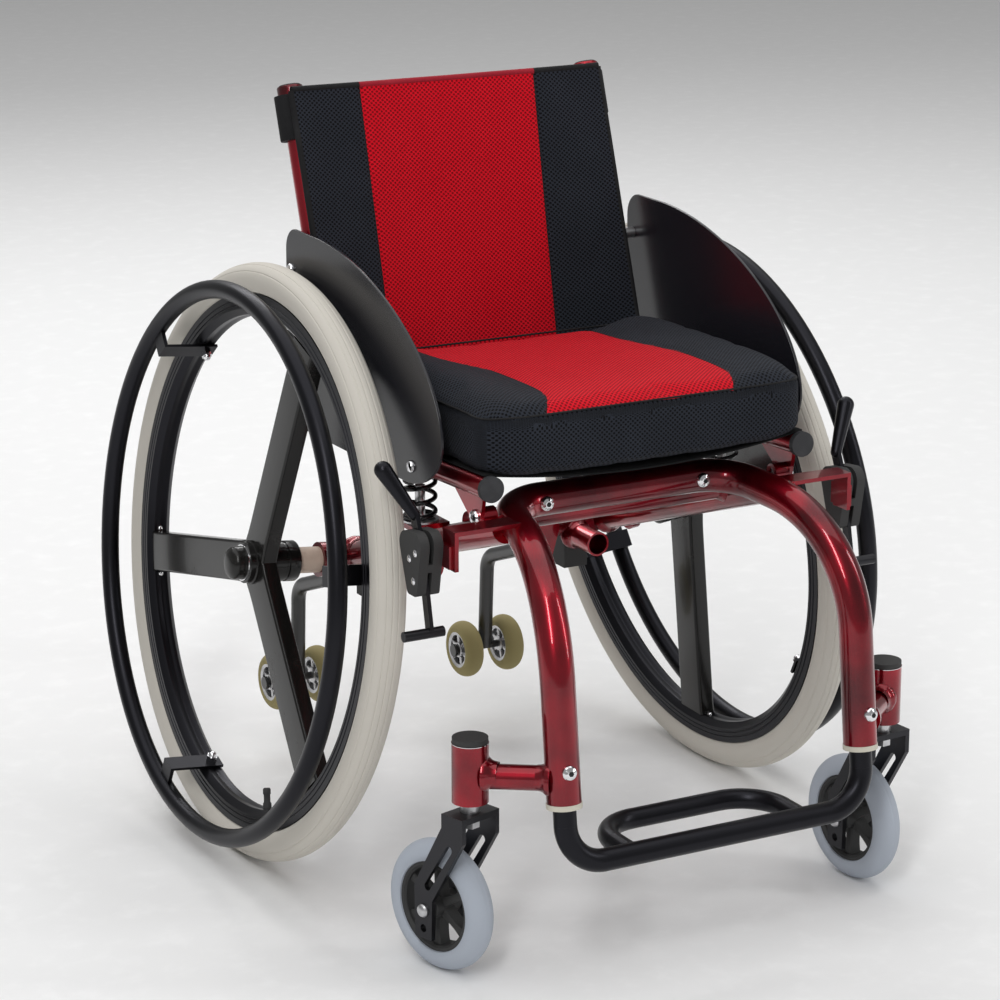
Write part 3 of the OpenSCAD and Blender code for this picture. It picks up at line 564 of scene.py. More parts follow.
def beam(stations: np.ndarray, ring: np.ndarray, widths: np.ndarray) -> Mesh:
    """A bar along x that carries a ring of (y, z) points, with y scaled by the width at each station."""
    grid = np.empty((len(stations), len(ring), 3))
    grid[..., 0] = stations[:, None]
    grid[..., 1] = ring[None, :, 0] * widths[:, None]
    grid[..., 2] = ring[None, :, 1]
    return lattice(grid, False, True, True)


def plate(outline: np.ndarray, thick: float, edge: float) -> Mesh:
    """A flat plate: the outline in x and y, from z = 0 to thick, with both rims chamfered by edge."""
    middle = outline.mean(0)
    inward = outline + (middle - outline) / np.linalg.norm(middle - outline, axis=1, keepdims=True) * edge
    rows = [(inward, 0.0), (outline, edge), (outline, thick - edge), (inward, thick)]
    grid = np.stack([np.concatenate([o, np.full((len(o), 1), h)], 1) for o, h in rows])
    return lattice(grid, False, True, True)


def add(
    name: str,
    mesh: Mesh,
    finish: Finish,
    body: str | None,
    stands_for: Sequence[str] = (),
    flat: bool = False,
) -> bpy.types.Object:
    """Puts a mesh, given in millimetres in the chair's frame, into the scene as a riding piece.

    Args:
        name: The piece's name.
        mesh: Its shape.
        finish: What it is finished in.
        body: The body it rides on, or None to leave it unattached.
        stands_for: Nodes that it replaces.
        flat: Whether its faces are shaded flat.

    Returns:
        The piece.
    """
    data = bpy.data.meshes.new(name)
    data.from_pydata((mesh.points * MM).tolist(), [], mesh.faces)
    data.validate()
    data.polygons.foreach_set("use_smooth", np.full(len(data.polygons), not flat))
    if mesh.uv is not None:
        layer = data.uv_layers.new(name="UVMap")
        corner = np.empty(len(data.loops), np.int32)
        data.loops.foreach_get("vertex_index", corner)
        layer.data.foreach_set("uv", (mesh.uv[corner] * MM).astype(np.float32).ravel())
    if mesh.panel is not None:
        made = data.attributes.new("panel", "FLOAT", "POINT")
        made.data.foreach_set("value", mesh.panel.astype(np.float32))
    data.materials.append(finish.material())
    piece = bpy.data.objects.new(name, data)
    bpy.context.scene.collection.objects.link(piece)
    if not flat:
        data.set_sharp_from_angle(angle=SHARP)
    if body:
        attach(piece, body)
    if stands_for:
        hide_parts(*stands_for)
    LOG.info("%s: %d faces on %s", name, len(mesh.faces), body)
    return piece


# ---------------------------------------------------------------- sizes that the CAD fixes


@dataclass(frozen=True)
class Chair:
    """Main places of the chair in millimetres, as the CAD model has them.

    Values that end in _y are measured from the rear axle, which lies shift behind the frame's origin.
    """

    shift: float = 91.0
    track: float = 255.55
    hub_z: float = 303.43
    camber: float = math.radians(6.0)
    rail_x: float = 173.0
    seat_y: float = -341.0
    seat_z: float = 453.0
    tilt: float = math.radians(2.5)
    back_y: float = 81.0
    back_z: float = 768.0
    recline: float = math.radians(18.7)
    spring_y: float = -200.0
    head_x: float = 232.0
    head_y: float = -412.0
    head_z: float = 206.0
    trail: float = 39.0
    leg_x: float = 165.0
    leg_y: float = -470.0
    arm_x: float = 118.0
    roller_off: float = 26.0
    roller_y: float = 206.0
    roller_z: float = 95.0

    def wheel(self, mesh: Mesh, side: Side) -> Mesh:
        """Carries a mesh from a wheel's frame, with z outwards, x down and y to the rear, to the chair's."""
        c, s = math.cos(self.camber), math.sin(self.camber)
        turn = np.array([[s, 0, c], [0, 1, 0], [-c, 0, s]])
        at = np.array([self.track, self.shift, self.hub_z])
        mirror = np.diag([side.value, 1, 1])
        return mesh.moved(mirror @ turn, mirror @ at)

    def seat(self, points: np.ndarray) -> np.ndarray:
        """Points of the seat's frame, with its origin between the rails' front ends, in the chair's frame."""
        c, s = math.cos(self.tilt), math.sin(self.tilt)
        turn = np.array([[1, 0, 0], [0, c, s], [0, -s, c]])
        return points @ turn.T + np.array([0, self.shift + self.seat_y, self.seat_z])

    def back(self, points: np.ndarray) -> np.ndarray:
        """Points of the back's frame, with its origin between the posts' tops, in the chair's frame."""
        c, s = math.cos(self.recline), math.sin(self.recline)
        turn = np.array([[1, 0, 0], [0, c, s], [0, -s, c]])
        return points @ turn.T + np.array([0, self.shift + self.back_y, self.back_z])


CHAIR = Chair()
LOOK = Finishes()


# ---------------------------------------------------------------- rear wheels


@dataclass
class RearWheel:
    """Tyre, rim, spokes, hub and small fittings of one rear wheel."""

    side: Side
    spin: float
    radius: float = 305.0
    section: float = 17.5
    bead: float = 274.0
    rim_in: float = 252.0
    spoke_w: float = 42.0
    spoke_d: float = 18.0

    def tyre(self) -> Mesh:
        """The tyre: a round section with shallow grooves round the tread, cut flat at the bead.

        The radius of the section at angle t from outwards is the section's radius less a sum of narrow
        bell-shaped grooves centred on set angles.
        """
        mid = self.radius - self.section
        reach = math.acos((self.bead + 0.1 - mid) / self.section)
        t = np.linspace(-reach, reach, 150)
        dent = sum(0.7 * np.exp(-(((t - math.radians(g)) / 0.028) ** 2)) for g in (-62, -30, -10, 10, 30, 62))
        r = self.section - dent
        section = np.stack([mid + r * np.cos(t), r * np.sin(t)], 1)
        return lathe(section, 300)

    def rim(self) -> Mesh:
        """The rim: a box profile with two fine grooves on each flank, one inside and a well for the tyre."""
        half, low = 13.0, self.rim_in
        flank = [(low + 6, half)]
        for start in (low + 9, low + 14):
            flank += [(start, half), (start + 0.6, half - 0.8), (start + 1.4, half - 0.8), (start + 2, half)]
        flank += [(self.bead, half)]
        inner = [(low, 3.0), (low, 7.0), (low + 1.2, half - 4.5)]
        up = inner + flank
        down = [(r, -z) for r, z in up[::-1]]
        well = [(self.bead, half - 1.2), (self.bead - 5, half - 4)]
        well += [(r, -z) for r, z in well[::-1]]
        outline = np.array(down + up + well)
        groove = np.array([(low, -3.0), (low + 0.9, -1.2), (low + 0.9, 1.2), (low, 3.0)])
        start = len(down) - 1
        outline = np.concatenate([outline[:start], groove, outline[start + 2 :]])
        return lathe(outline, 240)

    def spoke(self, turn: float) -> Mesh:
        """One spoke: a rounded box section that widens slightly where it meets the hub and the rim."""
        w, d = self.spoke_w / 2, self.spoke_d / 2
        ring = rounded([(-w, -d), (w, -d), (w, d), (-w, d)], 3.2, 5)
        x = np.array([6, 16, 26, 36, 60, 120, 180, 225, 240, 247, 251.6])
        flare = 1 + 0.1 * np.exp(-((x - 6) / 16) ** 2) + 0.07 * np.exp(-((x - 252) / 6) ** 2)
        return beam(x, ring, flare).spun(turn)

    def hub(self) -> Mesh:
        """The hub: stepped barrel, recessed ring and domed outer cap, turned round the axle."""
        cup = [(6.6, -40), (18, -40), (20.2, -39.2), (21, -38), (21, -27), (20, -26), (20, -24), (21, -23)]
        barrel = [(21, -12), (22.5, -11), (22.5, 11), (21, 12)]
        barrel += [(21, 17.2), (20.2, 18), (17.6, 18), (17.2, 18.6)]
        rise = np.linspace(0, math.pi / 2, 14)
        dome = [(17 * math.cos(a) ** 0.75 if a < 1.57 else 0.05, 27 + 9 * math.sin(a)) for a in rise]
        return lathe(cup + barrel + dome + [(0.05, 30), (6.6, 28)], 96)

    def fittings(self) -> Mesh:
        """Rivets at the spokes' outer ends and the chrome ring on the hub."""
        dome = [(3.0, 0), (3.0, 0.8), (2.3, 1.7), (1.2, 2.2), (0.02, 2.4), (0.02, 0)]
        parts = []
        for k in range(3):
            a = math.radians(self.spin + 120 * k)
            out, along = np.array([math.cos(a), math.sin(a), 0]), np.array([-math.sin(a), math.cos(a), 0])
            for w in (-24.5, 24.5):
                parts.append(placed(lathe(dome, 20), out * 251.7 + along * w, -out))
        ring = lathe([(17.4, 18.2), (18.6, 18.2), (18.6, 19.6), (17.4, 19.6)], 64)
        return ring.joined(*parts)

    def stem(self) -> Mesh:
        """The valve stem, which points from the rim at the hub."""
        a = math.radians(-15 if self.side is Side.RIGHT else 212)
        foot = [(0.02, 0), (4.4, 0), (4.4, 6), (3.4, 8)]
        cap = [(3.4, 15), (4, 16), (4, 20.5), (3, 22), (0.02, 22)]
        out = np.array([math.cos(a), math.sin(a), 0])
        return placed(lathe(foot + cap, 24), out * (self.rim_in + 0.5), -out)

    def build(self) -> None:
        """Makes and dresses every piece of the wheel."""
        word, body = self.side.word, f"wheel_{self.side.word}"
        spokes = [self.spoke(math.radians(self.spin + 120 * k)) for k in range(3)]
        spider = spokes[0].joined(*spokes[1:], self.hub())
        for name, mesh, finish, slot, node in (
            (f"tyre_{word}_grooved", self.tyre(), LOOK.tyre, "tyre_grey", f"tyre_{word}"),
            (f"rim_{word}_stepped", self.rim(), LOOK.black, "gloss_black", f"rim_{word}"),
            (f"spider_{word}_formed", spider, LOOK.spoke, "gloss_black", f"spider_{word}"),
            (f"wheel_rivets_{word}", self.fittings(), LOOK.chrome, "chrome", None),
            (f"valve_stem_{word}", self.stem(), LOOK.plastic, "black_plastic", None),
        ):
            add(name, CHAIR.wheel(mesh, self.side), finish, body, [node] if node else [])


# ---------------------------------------------------------------- casters


@dataclass
class Caster:
    """Tyre and spoked hub of one front caster."""

    side: Side
    turn: float
    radius: float = 64.0
    width: float = 28.0

    def place(self, mesh: Mesh) -> Mesh:
        """Carries a mesh from the caster wheel's frame, with z along its axle, to the chair's."""
        c, s = math.cos(self.turn), math.sin(self.turn)
        turn = np.array([[0, -s, c], [0, c, s], [-1, 0, 0]])
        x, y = CHAIR.head_x * self.side.value - CHAIR.trail * s, CHAIR.shift + CHAIR.head_y + CHAIR.trail * c
        return mesh.moved(turn, (x, y, self.radius))

    def tyre(self) -> Mesh:
        """The tyre: a full round tread with a parting line and shouldered flanks down to the bead."""
        half, mid, bead = self.width / 2, self.radius - self.width / 2, self.radius - 20
        t = np.linspace(-math.pi / 2, math.pi / 2, 60)
        r = half - 0.35 * np.exp(-((t / 0.05) ** 2))
        tread = np.stack([mid + r * np.cos(t), r * np.sin(t)], 1)
        flank = np.array([(bead + 3, half - 0.3), (bead + 0.6, half - 1.5), (bead + 0.1, half - 3)])
        low = flank[::-1] * np.array([1, -1])
        return lathe(np.concatenate([low, tread, flank]), 160)

    def hub(self) -> Mesh:
        """The hub: rim band, six tapered spokes and a stepped boss."""
        bead = self.radius - 20
        edge = [(bead, 11), (bead - 3, 11), (bead - 5, 9)]
        band = lathe([(r, -z) for r, z in edge[::-1]] + edge, 96)
        boss = lathe([(4.1, -17), (9, -17), (11, -15), (11, 15), (9, 17), (4.1, 17)], 64)
        x = np.linspace(9, bead - 4, 8)
        half_ring = np.array([(1, -6), (1, 6), (0.6, 7), (-0.6, 7)])
        ring = np.roll(np.concatenate([half_ring, -half_ring]), 3, 0)
        spoke = beam(x, ring, 3.4 + 2.2 * (np.abs(x - 24) / 16) ** 2)
        return band.joined(boss, *(spoke.spun(k * math.pi / 3) for k in range(6)))

    def build(self) -> None:
        """Makes and dresses the caster's tyre and hub."""
        body = f"caster_wheel_{self.side.word}"
        for part, shape, mesh, finish, slot in (
            ("tyre", "round", self.tyre(), LOOK.caster, "caster_grey"),
            ("hub", "spoked", self.hub(), LOOK.plastic, "black_plastic"),
        ):
            node = f"caster_{part}_{self.side.word}"
            add(f"{node}_{shape}", self.place(mesh), finish, body, [node])


# ---------------------------------------------------------------- anti-tip wheels


@dataclass
class Roller:
    """One anti-tip wheel with a metal hub and a glossy tread."""

    side: Side
    place: str
    x: float
    radius: float = 32.0
    half: float = 11.0

    def build(self) -> None:
        """Makes the tread and the spoked hub of the roller."""
        r, h = self.radius, self.half
        reach = 1.25
        t = np.linspace(-reach, reach, 30)
        crown = np.stack([r - 12 + 12 * np.cos(t) ** 0.8, h * np.sin(t) / math.sin(reach)], 1)
        tread = lathe(np.concatenate([[(r - 11.5, -h + 0.6)], crown, [(r - 11.5, h - 0.6)]]), 96)
        hub = lathe([(r - 15, -h + 2), (r - 11.4, -h + 0.8), (r - 11.4, h - 0.8), (r - 15, h - 2)], 72)
        boss = lathe([(4.1, 1 - h), (8, 1 - h), (9, 2 - h), (9, h - 2), (8, h - 1), (4.1, h - 1)], 48)
        lying = np.array([[0, 0, 1], [1, 0, 0], [0, 1, 0]])
        arm = box_mesh((5, 2 * h - 7, 11), 1.4).moved(lying, (12.5, 0, 0))
        spokes = [arm.spun(k * math.pi / 3 + 0.3) for k in range(6)]
        at, z = (self.side.value * self.x, CHAIR.shift + CHAIR.roller_y, CHAIR.roller_z), (1, 0, 0)
        node = f"anti_tip_wheel_{self.side.word}_{self.place}"
        add(f"{node}_tread", placed(tread, at, z), LOOK.amber, node, [node])
        add(f"{node}_hub", placed(hub.joined(boss, *spokes), at, z), LOOK.steel, node)


# ---------------------------------------------------------------- upholstery


def step(value: np.ndarray, low: float, high: float) -> np.ndarray:
    """A smooth step from 0 at low to 1 at high."""
    t = np.clip((value - low) / (high - low), 0, 1)
    return t**2 * (3 - 2 * t)


@dataclass
class Cushion:
    """The seat cushion: a crowned block of foam in spacer mesh with a coloured top panel and piped seams."""

    half: float = 188.0
    front: float = -21.0
    rear: float = 291.0
    thick: float = 51.0
    corner: float = 42.0
    base: float = 15.5
    swell: float = 6.0

    def border(self, y: np.ndarray, side: Side) -> np.ndarray:
        """The coloured panel's border at a distance behind the rails' front ends.

        Each is a constant with a bell at the front edge and a smooth step towards the rear, so that the two
        borders bow as the stuffing pushes them.
        """
        if side is Side.RIGHT:
            return -(95 + 26 * np.exp(-(((y + 26) / 36) ** 2)) + 26 * step(y, 130, 220))
        return 105 - 21 * np.exp(-(((y + 32) / 34) ** 2)) - 15 * step(y, 90, 230)

    def lift(self, x: np.ndarray, y: np.ndarray) -> np.ndarray:
        """How far the stuffing raises the top: a rolled front edge, a level middle and fuller sides."""
        back = 1 - np.exp(-np.maximum(y - self.front, 0) / 62)
        side = np.exp(-(((np.abs(x) - 148) / 34) ** 2))
        outer = np.clip((np.abs(x) - 150) / 31, 0, 1) ** 2
        return 1.5 + 10 * back + 9 * side * back - 5 * outer

    def block(self) -> bpy.types.Object:
        """The unstuffed block as a plain object in the seat's frame, a little smaller than the cushion."""
        w, front, rear = self.half - 4, self.front + 4, self.rear - 4
        ring = rounded([(-w, front), (w, front), (w, rear), (-w, rear)], self.corner, 8)
        heights = np.array([0.5, 3.0, self.thick - 5, self.thick - 2.5]) + self.base
        inset = np.array([3.0, 0.0, 0.0, 3.0])
        middle = np.array([0.0, (front + rear) / 2])
        rows = middle + (ring - middle)[None] * (1 - inset / 170)[:, None, None]
        grid = np.concatenate([rows, np.broadcast_to(heights[:, None, None], (4, len(ring), 1))], -1)
        mesh = lattice(grid, False, True, True)
        data = bpy.data.meshes.new("cushion_block")
        data.from_pydata((mesh.points * MM).tolist(), [], mesh.faces)
        return bpy.data.objects.new("cushion_block", data)

    def stuffed(self) -> tuple[np.ndarray, list]:
        """Swells the block with cloth pressure and caps how far each point moves.

        Returns:
            The points in the seat's frame in millimetres, and the faces.
        """
        obj = self.block()
        bpy.context.scene.collection.objects.link(obj)
        remesh = obj.modifiers.new("voxels", "REMESH")
        remesh.mode = "VOXEL"
        remesh.voxel_size = 0.005
        data = bpy.data.meshes.new_from_object(obj.evaluated_get(bpy.context.evaluated_depsgraph_get()))
        obj.modifiers.clear()
        obj.data = data
        rest = np.empty(len(data.vertices) * 3)
        data.vertices.foreach_get("co", rest)
        moved = rest.copy()
        cloth = obj.modifiers.new("cloth", "CLOTH")
        cloth.settings.use_pressure = True
        cloth.settings.uniform_pressure_force = 4.0
        cloth.settings.effector_weights.gravity = 0.0
        for tick in range(1, 21):
            bpy.context.scene.frame_set(tick)
        swollen = obj.evaluated_get(bpy.context.evaluated_depsgraph_get()).to_mesh()
        swollen.vertices.foreach_get("co", moved)
        bpy.context.scene.frame_set(1)
        rest, moved = rest.reshape(-1, 3), moved.reshape(-1, 3)
        shift = moved - rest
        size = np.linalg.norm(shift, axis=1, keepdims=True)
        shift *= np.minimum(1.0, self.swell * MM / np.maximum(size, 1e-9))
        faces = [list(p.vertices) for p in data.polygons]
        bpy.data.objects.remove(obj)
        return (rest + shift) / MM, faces

    def build(self) -> None:
        """Makes the cushion, its surface map, its panel attribute and its piping."""
        own, faces = self.stuffed()
        x, y, z = own.T
        high = np.clip((z - self.base) / self.thick, 0, 1.15)
        z = z + self.lift(x, y) * high - 7 * (1 - (x / self.half) ** 2) * np.clip(1 - high, 0, 1)
        top = high > 0.8
        left, right = self.border(y, Side.LEFT), self.border(y, Side.RIGHT)
        near = np.minimum(np.abs(x - left), np.abs(x - right))
        z = z - np.where(top, 2.0 * np.exp(-((near / 5.0) ** 2)), 0)
        inside = np.minimum(left - x, x - right)
        panel = np.where(high > 0.9, np.clip(0.5 + inside / 3.0, 0, 1), 0.0)
        panel *= np.clip((y - self.front - 6.5) / 2.0, 0, 1)
        wall = np.clip((0.86 - high) / 0.05, 0, 1)
        flank = wall * np.clip((np.abs(x) - self.half + 14) / 4, 0, 1)
        uv = np.stack([x * (1 - flank) + y * flank, y * (1 - wall) + z * wall], 1)
        own = np.stack([x, y, z], 1)
        mesh = Mesh(CHAIR.seat(own), faces, uv, panel)
        piece = add("cushion_stuffed", mesh, LOOK.mesh, "seat", ["cushion"])
        mod = piece.modifiers.new("smooth", "SUBSURF")
        mod.levels = mod.render_levels = 1
        self.piping(BVHTree.FromPolygons(own.tolist(), faces))

    def piping(self, skin: BVHTree) -> None:
        """Lays thin cords on the skin: round the top edge, and along the panel's two borders."""
        w = self.half + 1
        ring = rounded(
            [(-w, self.front), (w, self.front), (w, self.rear), (-w, self.rear)], self.corner + 2, 24
        )
        middle = (self.front + self.rear) / 2
        height = self.base + self.thick + self.lift(ring[:, 0] * 0.97, ring[:, 1] + 6) - 3.5
        path = []
        for (x, y), z in zip(ring, height):
            start = Vector((x + x * 0.4, y + (y - middle) * 0.4, z + 22))
            aim = Vector((x * 0.94, (y - middle) * 0.94 + middle, z))
            hit, normal, _, _ = skin.ray_cast(start, aim - start)
            if hit is not None:
                path.append(hit + normal * 0.1)
        cord = sweep(CHAIR.seat(np.array(path)), 1.0, 8, True)
        add("cushion_edge_piping", cord, LOOK.piping, "seat")
        for side in Side:
            path = []
            for y in np.linspace(self.front + 5, self.rear - 8, 110):
                x = float(self.border(np.array(y), side))
                hit, _, _, _ = skin.ray_cast(Vector((x, y, 200)), Vector((0, 0, -1)))
                if hit is not None:
                    path.append(hit - Vector((0, 0, 0.2)))
            cord = sweep(CHAIR.seat(np.array(path)), 0.7, 8)
            add(f"cushion_panel_seam_{side.word}", cord, LOOK.piping, "seat")


@dataclass
class BackRest:
    """The back upholstery: a padded sheet of spacer mesh hung on the fronts of both posts."""

    drop: float = 314.0
    half: float = 179.0
    front: float = -15.0
    thick: float = 6.0

    def half_panel(self, z: np.ndarray, k: np.ndarray | float) -> np.ndarray:
        """Half width of the coloured panel on the side whose X sign is k: it narrows only on the left."""
        return 102 + np.where(np.asarray(k) > 0, 14.0, -4.0) * z / 300.0

    def depth(self, x: np.ndarray, z: np.ndarray) -> np.ndarray:
        """Depth of the sheet: it sags between the posts, more so lower down, with soft pulls near them."""
        sag = 5 + 19 * np.clip(-z / 300, 0, 1) ** 1.1
        bow = np.clip(1 - (x / self.half) ** 2, 0, 1) ** 0.8
        pull = np.exp(-(((np.abs(x) - 150) / 22) ** 2)) * np.sin(z / 21 + x / 60)
        puff = 1.6 * np.exp(-(((np.abs(x) - 52) / 40) ** 2)) * np.sin(z / 55 + 0.6)
        return self.front + sag * bow + 0.8 * pull - puff

    def build(self) -> None:
        """Makes the sheet, its seams, its bound edges and the sleeves at the posts' tops."""
        x = np.linspace(-self.half, self.half, 180)
        z = np.linspace(-self.drop, -1.0, 140)
        gx, gz = np.meshgrid(x, z)
        width = self.half_panel(gz, gx)
        gap = np.minimum(np.abs(np.abs(gx) - width), 40)
        gy = self.depth(gx, gz) + 1.6 * np.exp(-((gap / 3.0) ** 2))
        skin = lattice(np.stack([gx, gy, gz], -1), False, False)
        uv = np.stack([gx.ravel(), gz.ravel()], 1)
        panel = np.clip(0.5 + (width - np.abs(gx)).ravel() / 2.0, 0, 1)
        mesh = Mesh(CHAIR.back(skin.points), skin.faces, uv, panel)
        piece = add("back_mesh", mesh, LOOK.mesh, "seat", ["back_upholstery"])
        solid = piece.modifiers.new("thickness", "SOLIDIFY")
        solid.thickness = self.thick * MM
        solid.offset = 0.0
        self.trims()

    def cord(
        self,
        name: str,
        x: np.ndarray,
        z: np.ndarray,
        lift: float,
        radius: float,
        finish: Finish = LOOK.piping,
    ) -> bpy.types.Object:
        """A cord along a line on the sheet, given by its x and z.

        Args:
            name: The cord's name.
            x: Positions across the back.
            z: Heights.
            lift: How far it stands in front of the sheet's middle.
            radius: The cord's radius.
            finish: Its finish.

        Returns:
            The cord.
        """
        path = CHAIR.back(np.stack([x, self.depth(x, z) - lift, z], 1))
        return add(name, sweep(path, radius, 10), finish, "seat")

    def trims(self) -> list[bpy.types.Object]:
        """The seams beside the panel, the bound edges, the posts' sleeves and their straps."""
        made = []
        z = np.linspace(-self.drop, -2.0, 120)
        for side in Side:
            k = side.value
            made.append(self.cord(f"back_seam_{side.word}", k * self.half_panel(z, k), z, 1.2, 0.8))
            made.append(self.cord(f"back_edge_{side.word}", 0 * z + k * self.half, z, 0.0, 3.3))
            x = np.linspace(k * 102, k * self.half, 40)
            made.append(self.cord(f"back_top_{side.word}", x, 0 * x - 1.0, 0.4, 3.6))
            turn = np.linspace(0, 2 * math.pi, 72, endpoint=False)
            ring = np.stack([15.5 * np.cos(turn) + k * (CHAIR.rail_x + 2.5), 13 * np.sin(turn) + 0.5], 1)
            rows = [(0.97, -50), (1.0, -49), (1.0, -5), (0.97, -4)]
            centre = ring.mean(0)
            loop = np.stack(
                [np.concatenate([centre + (ring - centre) * f, np.full((72, 1), h)], 1) for f, h in rows]
            )
            sleeve = lattice(loop, False, True, True)
            sleeve = Mesh(CHAIR.back(sleeve.points), sleeve.faces)
            made.append(add(f"post_sleeve_{side.word}", sleeve, LOOK.piping, "seat"))
            collar = lathe([(0.02, -4), (13.4, -4), (13.4, 4.2), (12.6, 5.4), (0.02, 5.4)], 48)
            disc = lathe([(0.02, 5.3), (11.2, 5.3), (11.2, 6.2), (10.4, 6.8), (0.02, 6.8)], 48)
            for part, mesh, finish in (("cap", collar, LOOK.red), ("cap_disc", disc, LOOK.plastic)):
                nodes = ["post_caps"] if part == "cap" else []
                slot = "frame_red" if part == "cap" else "black_plastic"
                turned = Mesh(CHAIR.back(mesh.points + np.array([k * CHAIR.rail_x, 0, 0])), mesh.faces)
                made.append(add(f"post_{part}_{side.word}", turned, finish, "seat", nodes))
        x = np.linspace(-102, 102, 80)
        made.append(self.cord("back_top_middle", x, 0 * x - 1.0, 0.4, 3.6, LOOK.red_piping))
        x = np.linspace(-self.half, self.half, 90)
        made.append(self.cord("back_bottom", x, 0 * x - self.drop, 0.0, 3.3))
        for n, level in enumerate((-95, -165, -235)):
            x = np.linspace(-CHAIR.rail_x, CHAIR.rail_x, 60)
            y = 13.0 - 1.5 * (1 - (x / CHAIR.rail_x) ** 2)
            corners = ((0, -15), (0, 15), (1.6, 15), (1.6, -15))
            rows = [np.stack([x, y + dy, 0 * x + level + dz], 1) for dy, dz in corners]
            strap = lattice(np.stack(rows, 1), False, True, True)
            uv = np.stack([strap.points[:, 0], strap.points[:, 2]], 1)
            strap = Mesh(CHAIR.back(strap.points), strap.faces, uv)
            made.append(add(f"back_strap_{n + 1}", strap, LOOK.sling, "seat"))
        return made


@dataclass
class Sling:
    """The seat sling under the cushion."""

    half: float = 177.0
    start: float = 2.0
    length: float = 292.0
    height: float = 12.6
    droop: float = 15.0

    def build(self) -> None:
        """Makes the sling as a sheet that sags between the rails."""
        x, y = np.linspace(-self.half, self.half, 90), np.linspace(self.start, self.start + self.length, 70)
        gx, gy = np.meshgrid(x, y)
        sag = self.droop * (1 - (gx / self.half) ** 2)
        skin = lattice(np.stack([gx, gy, self.height - sag], -1), False, False)
        uv = np.stack([gx.ravel(), gy.ravel()], 1)
        mesh = Mesh(CHAIR.seat(skin.points), skin.faces, uv)
        piece = add("sling_sheet", mesh, LOOK.sling, "seat", ["seat_sling"])
        solid = piece.modifiers.new("thickness", "SOLIDIFY")
        solid.thickness = 1.8 * MM
        solid.offset = 0.0


# ---------------------------------------------------------------- frame details


